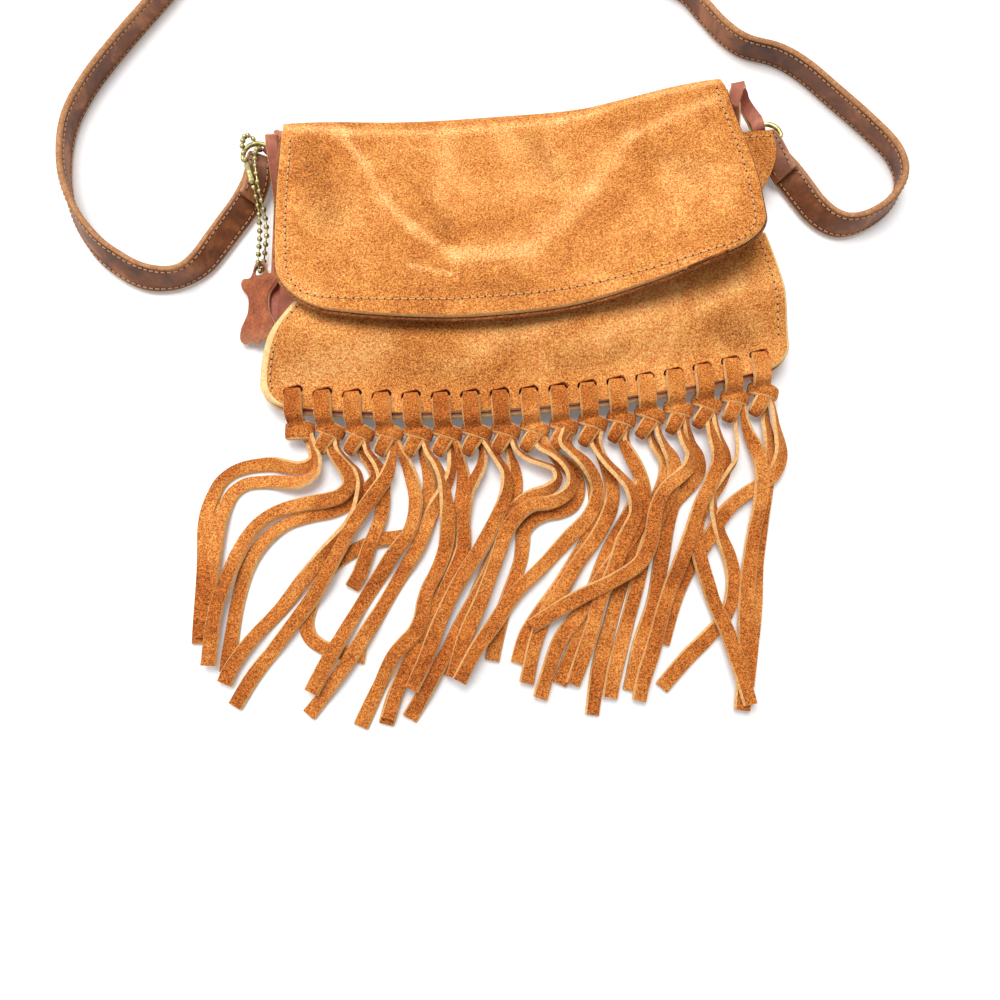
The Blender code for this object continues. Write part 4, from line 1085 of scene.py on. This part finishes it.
def tail_levels(index, path, halves, under, start):
    """Heights along a tail, from its start at the knot, that clear what lies under it."""
    count = len(path)
    floor = np.full(count, STRIP / 2 + 0.1)
    for i, (own_x, own_y) in enumerate(path):
        for other, walked, x, y, half, z in under:
            if other == index and i * FINE_STEP < OWN_KNOT and walked < OWN_KNOT:
                continue
            near = halves[i] + half + 0.8
            if (own_x - x) ** 2 + (own_y - y) ** 2 < near ** 2:
                floor[i] = max(floor[i], z + LAYER)
    reach = STRIDE + 2
    high = [floor[max(i - reach, 0):i + reach + 1].max() for i in range(count)]
    level = [float(np.mean(high[max(i - 2, 0):i + 3])) for i in range(count)]
    level = [max(z, mix(start, z, smooth((i * FINE_STEP - 4.0) / 12.0)))
             for i, z in enumerate(level)]
    coarse = range(0, count, STRIDE)
    return np.interp(range(count), coarse, [level[i] for i in coarse])


def lay_tails():
    """Settles each tail on the surface and on the strips that lie under it.
    Returns, for each tail, (x, y, z, half width) at its coarse points."""
    laid = {}
    under = []
    for index in range(FRINGES):
        x, y, _ = knot_middle(index)
        under.append((index, 0.0, x, y, KNOT_RADIUS, KNOT_TOP))
    for key in LAY_ORDER:
        index = int(key[:2]) - 1
        x, y, _ = knot_middle(index)
        shift, start = TAIL_STARTS[key[2]]
        path = spline([(x + shift, y - 0.6)] + TAIL_ROUTES[key], FINE_STEP)
        path = path[:(len(path) - 1) // STRIDE * STRIDE + 1]
        halves = tail_halves(path)
        level = tail_levels(index, path, halves, under, start)
        rows = [(*point, z, half) for point, z, half in zip(path, level, halves)]
        under += [(index, i * FINE_STEP, x, y, half, z) for i, (x, y, z, half) in enumerate(rows)]
        laid[key] = rows[::STRIDE]
    return laid


# Tails that stand on edge near their knot, in degrees, and how far that reaches
STANDING = {
    "02b": (75, 60), "03b": (60, 26), "16a": (70, 60), "01a": (40, 30), "09a": (55, 34),
    "10a": (45, 26), "14a": (40, 24), "12b": (55, 30), "06a": (55, 30), "07b": (50, 26),
    "11a": (60, 34), "15b": (55, 30), "17b": (50, 28), "05b": (55, 34), "08b": (60, 40),
}


def make_tail(piece, key, laid, chance):
    path = spline(laid[key], 0.9)
    walked = walk(path)
    steep, reach = STANDING.get(key, (chance.uniform(18, 48), chance.uniform(16, 30)))
    lean = math.copysign(1.0, chance.uniform(-1, 1)) if key not in STANDING else 1.0
    phase = chance.uniform(0.0, 6.3)
    middles = []
    sides = []
    halves = []
    for (x, y, z, half), head, w in zip(path, headings(path[:, :3]), walked):
        roll = steep * (1.0 - smooth((w - reach * 0.5) / reach)) * smooth((w + 4.0) / 8.0)
        roll = lean * roll + 7.0 * math.sin(w / 11.0 + phase) * smooth(w / 20.0)
        a = math.radians(roll)
        half *= 1.18 + 0.06 * math.sin(w / 7.0 + 2.0 * phase)
        z = max(z, half * abs(math.sin(a)) + STRIP / 2 * math.cos(a) + 0.1)
        middles.append(np.array([x, y, z]))
        sides.append(unit(beside(head)) * math.cos(a) + UP * math.sin(a))
        halves.append(half)
    piece.sweep(middles, sides, halves, STRIP, STRIP_PROFILE, STRIP_SLOTS)


HOLE_SHADE = (4.4, 2.3)


def make_loop(piece, index):
    """The strip from inside the knot, over the hem and down into its slot."""
    x = slot_x(index)
    centre = knot_middle(index)
    hem = HEM_Y - HEM_SAG + hem_shift(x)
    over = BACK_HEM_Z + HEM_GAP + 1.5 * SUEDE_THICK + STRIP / 2 + 0.5
    under = BACK_HEM_Z - SUEDE_THICK / 2 - STRIP / 2 - 0.5
    slot = slot_y(index)
    route = spline([(centre[0], centre[1] + 0.5, KNOT_Z + 1.3), (x + 0.3, hem - 3.4, over - 3.4),
                    (x, hem - 0.9, over - 0.3), (x, mix(hem, slot, 0.5), over + 0.25),
                    (x, slot - 0.6, over), (x, slot + 0.6, over - 1.2),
                    (x, slot + 0.9, over - 3.4), (x, slot + 0.5, under + 2.6),
                    (x, slot - 0.6, under), (x, hem - 0.8, under),
                    (centre[0], centre[1] + 1.0, KNOT_Z - 1.3)], 0.5)
    top = slot - 0.2
    halves = []
    for _, y, z in route:
        narrow = smooth((y - top + 1.6) / 2.2) if z > over - 3.6 else 1.0
        halves.append(LOOP_WIDTH / 2 * (1.0 - 0.16 * narrow))
    piece.sweep(list(route), [EAST] * len(route), halves, STRIP, STRIP_PROFILE, STRIP_SLOTS)
    # A dark disc of painted shade in the slot's opening above the loop.
    rim_z = BACK_HEM_Z + SUEDE_THICK / 2 + 0.12
    wide, high = HOLE_SHADE
    piece.add([(x + wide * math.cos(a), slot + 0.6 + high * math.sin(a), rim_z)
               for a in turns(16)], [tuple(range(16))], [3])


WRAP_PROFILE = [(-1, 0, -0.5), (0, 0, -0.5), (1, 0, -0.5), (1, 0.0, 0.0), (1, -0.7, 0.5),
                (0.35, 0, 0.62), (-0.35, 0, 0.62), (-1, 0.7, 0.5), (-1, 0.0, 0.0)]
WRAP_SLOTS = [1, 1, 2, 2, 0, 0, 0, 2, 2]


def wrap(piece, centre, turn, reach, rise, half, thickness):
    """A strip bent over the knot, its ends tucked under at both sides."""
    a = math.radians(turn)
    along = np.array([math.cos(a), math.sin(a), 0.0])
    middles = []
    halves = []
    for angle in range(205, -26, -10):
        b = math.radians(angle)
        middles.append(centre + along * reach * math.cos(b) + UP * (rise * math.sin(b)))
        halves.append(half * (0.84 + 0.16 * math.sin(b)))
    sides = [beside(along)] * len(middles)
    piece.sweep(middles, sides, halves, thickness, WRAP_PROFILE, WRAP_SLOTS)


def make_knot(piece, index, chance):
    centre = knot_middle(index)
    grown = chance.uniform(0.96, 1.06)
    if index == 0:
        wrap(piece, centre + np.array([-1.2, 0.6, -0.2]), -3, 5.2, 3.0, 4.2, 1.6)
        return
    swing = chance.uniform(-6, 6)
    wrap(piece, centre + np.array([0.3, 1.9, 0.0]), -22 + swing, 5.2 * grown, 3.4, 3.2, 1.8)
    wrap(piece, centre + np.array([-1.5, -2.6, -0.4]), 55 + swing, 4.8 * grown, 3.2, 3.2, 1.7)


def make_fringes():
    laid = lay_tails()
    for index in range(FRINGES):
        chance = random.Random(40 + index)
        number = f"{index + 1:02d}"
        piece = Piece(FRINGE, FRINGE, EDGE, HOLE_SHADE_LOOK)
        make_loop(piece, index)
        make_knot(piece, index, chance)
        for end in "ab":
            make_tail(piece, number + end, laid, chance)
        piece.build("strip_" + number, "bag", "fringe", "fringe_" + number)


make_fringes()


# Rings and their leather tabs

TAB_THICK = 1.4
TAB_HALF = 2.7
TAB_OUT = 3.2
TAB_END_LIFT = 6.0
TAB_ANGLE = {"left": math.radians(118), "right": math.radians(75)}
TAB_ROUTES = {
    "left": [(-98.6, 71.6, 10.5), (-97.6, 71.0, 13.6), (-97.6, 68.0, 17.0), (-97.6, 63.5, None)],
    "right": [(107.6, 70.4, 12.5), (104.6, 71.4, 18.0), (101.2, 69.5, 22.5), (98.6, 63.8, None)],
}


def make_ring(which):
    open_angle = math.asin(BAR_OFFSET / RING_RADIUS)
    points = [ring_point(which, mix(-open_angle, math.pi + open_angle, i / 44)) for i in range(45)]
    points += [points[-1] * (1 - t) + points[0] * t for t in (0.1, 0.35, 0.6, 0.85, 1.0)]
    points.append(points[1])
    ring = Piece(BRASS)
    ring.tube(points, [WIRE / 2] * len(points), 14, 0)
    ring.build(which + "_dee", which + "_ring", "brass", which + "_ring")


def make_tab(which):
    angle = TAB_ANGLE[which]
    hold = ring_point(which, angle)
    _, back, bar = ring_axes(which)
    tangent = math.cos(angle + math.pi / 2) * bar + math.sin(angle + math.pi / 2) * back
    outward = math.cos(angle) * bar + math.sin(angle) * back
    route = [tuple(hold), tuple(hold + TAB_OUT * outward)]
    for x, y, z in TAB_ROUTES[which]:
        route.append((x, y, back_z(x, y) + TAB_END_LIFT if z is None else z))
    middles = list(spline(route, 0.8))
    course = headings(middles)
    end = EAST * math.copysign(1.0, tangent[0])
    sides = []
    for i, head in enumerate(course):
        want = tangent * (1 - i / len(course)) + end * (i / len(course))
        sides.append(unit(want - head * want.dot(head)))
    radius = WIRE / 2 + CLEARANCE + TAB_THICK / 2 + 0.9
    middles, sides = folded_end(middles, sides, radius, math.inf, TAB_THICK + CLEARANCE)
    tab = Piece(TAG, GUSSET, PALE_EDGE)
    tab.sweep(middles, sides, [TAB_HALF] * len(middles), TAB_THICK, STRIP_PROFILE, STRIP_SLOTS)
    tab.build(which + "_tab", "bag", "strap", which + "_ring_tab")


for which in RINGS:
    make_ring(which)
    make_tab(which)


# Bead chain, its connector and the hide tag

CHAIN_ROUTE = [
    (-110.8, 47.0, 14.4), (-110.6, 44.2, 12.6), (-110.2, 38.4, 9.4), (-110.2, 32.0, 8.0),
    (-110.4, 25.0, 7.4), (-110.9, 18.5, 7.6), (-111.3, 13.4, 7.4), (-111.3, 10.8, 4.7),
    (-110.9, 12.8, 1.9), (-110.2, 17.0, 2.3), (-108.6, 20.8, 5.8), (-107.3, 26.5, 7.6),
    (-107.2, 33.0, 9.4), (-107.8, 39.5, 12.2), (-108.3, 46.0, 15.6), (-108.9, 52.0, 16.4),
    (-109.2, 58.0, 16.0), (-109.2, 63.6, 13.6), (-109.2, 67.2, 9.0), (-109.8, 70.0, 6.0),
    (-111.6, 73.4, 6.2), (-113.4, 74.0, 9.6), (-114.4, 70.6, 13.4), (-114.6, 64.6, 16.0),
    (-113.6, 58.4, 16.6), (-112.4, 55.0, 16.8),
]


BEAD_RADIUS = 1.2
BEAD_PITCH = 3.7
LINK_RADIUS = 0.38


def ball(piece, centre, radius, rings=7, around=12):
    points = []
    for r in range(rings):
        a = math.pi * (r + 0.5) / rings
        points += [centre + radius * np.array([math.sin(a) * math.cos(b),
                                               math.sin(a) * math.sin(b), math.cos(a)])
                   for b in turns(around)]
    last = (rings - 1) * around
    faces = [tuple(range(around)), tuple(last + k for k in reversed(range(around)))]
    faces += bands(rings, around, True)
    piece.add(points, faces, [0] * len(faces))


def make_chain():
    path = spline(CHAIN_ROUTE, 0.5)
    walked = walk(path)
    count = int(walked[-1] / BEAD_PITCH)
    chain = Piece(BRASS)
    for i in range(count):
        ball(chain, lookup((i + 0.5) * walked[-1] / count, walked, path), BEAD_RADIUS)
    first = int(np.interp(0.5 * walked[-1] / count, walked, range(len(path))))
    line = list(path[first:len(path) - first])
    chain.tube(line, [LINK_RADIUS] * len(line), 8, 0)
    chain.build("bead_chain", "chain", "brass", "ball_chain")


make_chain()
for node in ("chain_connector", "snap_cap", "snap_base"):
    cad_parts[node].data.materials[0] = BRASS


TAG_MIDDLE = np.array([-112.0, -5.0, 4.9])
TAG_LEAN = math.radians(-3)
TAG_TILT = math.radians(21)
TAG_HOLE = (-111.2, 10.6, 4.9)
TAG_HOLE_RADIUS = 2.6
TAG_LAYERS = ((0.965, -1.0), (1.0, -0.65), (1.0, 0.65), (0.965, 1.0))
TAG_OUTLINE = [
    (0.0, 20.0), (2.4, 19.0), (3.6, 15.0), (5.2, 13.0), (8.4, 13.2), (9.6, 11.2), (8.6, 8.2),
    (5.6, 4.4), (5.0, 0.0), (5.6, -4.6), (8.4, -10.2), (8.8, -14.8), (6.4, -17.4),
    (2.4, -17.0), (0.0, -18.6),
]


def make_tag():
    outline = TAG_OUTLINE + [(-x, y) for x, y in reversed(TAG_OUTLINE[1:-1])]
    loop = spline(outline[-3:] + outline + outline[:3], 0.7)
    from_top = [abs(x) + abs(y - TAG_OUTLINE[0][1]) for x, y in loop]
    loop = loop[from_top.index(min(from_top[:30])):from_top.index(min(from_top[-30:]))]
    size = len(loop)
    points = []
    for share, level in TAG_LAYERS:
        for x, y in loop:
            x, z = turned(x * share, level, TAG_TILT)
            points.append(TAG_MIDDLE + np.array([*turned(x, y * share, TAG_LEAN), z]))
    faces = [tuple(range(size)), tuple(3 * size + i for i in reversed(range(size)))]
    faces += bands(4, size, True)
    tag = Piece(TAG, PALE_EDGE)
    tag.add(points, faces, [0, 0] + [0] * size + [1] * size + [0] * size)
    made = tag.build("hide_leather", "tag", "tag", "hide_tag")
    bm = bmesh.new()
    bmesh.ops.create_cone(bm, cap_ends=True, segments=24, radius1=TAG_HOLE_RADIUS * MM,
                          radius2=TAG_HOLE_RADIUS * MM, depth=10.0 * MM)
    bmesh.ops.translate(bm, verts=bm.verts, vec=Vector(TAG_HOLE) * MM)
    tool = place_mesh("tag_hole", bm)
    cut(made, tool)
    bpy.data.objects.remove(tool, do_unlink=True)


make_tag()


# Floor, light and background

FLOOR_RADIUS = 1.1
FLOOR_DROP = 0.0003
FLOOR_GREY = (0.88, 0.88, 0.88, 1.0)
FLOOR_GLOW = 0.14
AMBIENT = 0.42


def make_floor():
    bm = bmesh.new()
    bmesh.ops.create_circle(bm, cap_ends=True, segments=96, radius=FLOOR_RADIUS)
    bmesh.ops.translate(bm, verts=bm.verts, vec=(0.0, 0.0, -FLOOR_DROP))
    floor = place_mesh("floor", bm)
    look = Look("floor_white", Base_Color=FLOOR_GREY, Roughness=0.9)
    seen = look.node("LightPath").outputs["Is Camera Ray"]
    share = look.node("Math", [(0, seen), (1, FLOOR_GLOW)], operation="MULTIPLY").outputs[0]
    glow = look.node("Emission", [("Color", WHITE), ("Strength", share)]).outputs[0]
    total = look.node("AddShader", [(0, look.shader.outputs[0]), (1, glow)])
    look.show(total, "Material Output")
    floor.data.materials.append(look.made)


def area(name, place, size, power):
    """A square lamp that faces the origin."""
    data = bpy.data.lights.new(name, "AREA")
    data.shape = "SQUARE"
    data.size = size
    data.energy = power
    lamp = place_object(name, data)
    lamp.location = place
    lamp.rotation_euler = (-Vector(place)).to_track_quat("-Z", "Y").to_euler()


def make_world():
    """An even dim light, which the camera and reflections see as white."""
    world = bpy.data.worlds.new("soft_room")
    world.use_nodes = True
    room = Nodes(world.node_tree)
    ambient = room.tree.nodes["Background"]
    ambient.inputs["Color"].default_value = WHITE
    ambient.inputs["Strength"].default_value = AMBIENT
    white = room.node("Background", [("Color", WHITE)])
    rays = room.node("LightPath").outputs
    seen = room.node("Math", [(0, rays["Is Camera Ray"]), (1, rays["Is Glossy Ray"])],
                     operation="MAXIMUM").outputs[0]
    chosen = room.node("MixShader", [(0, seen), (1, ambient.outputs[0]), (2, white.outputs[0])])
    room.show(chosen, "World Output")
    bpy.context.scene.world = world


make_floor()
area("soft_above", (-0.1, 0.5, 1.3), 0.8, 17.0)
area("fill_left", (-0.9, 0.3, 0.9), 0.5, 4.0)
make_world()
bpy.context.scene.view_settings.view_transform = "Standard"
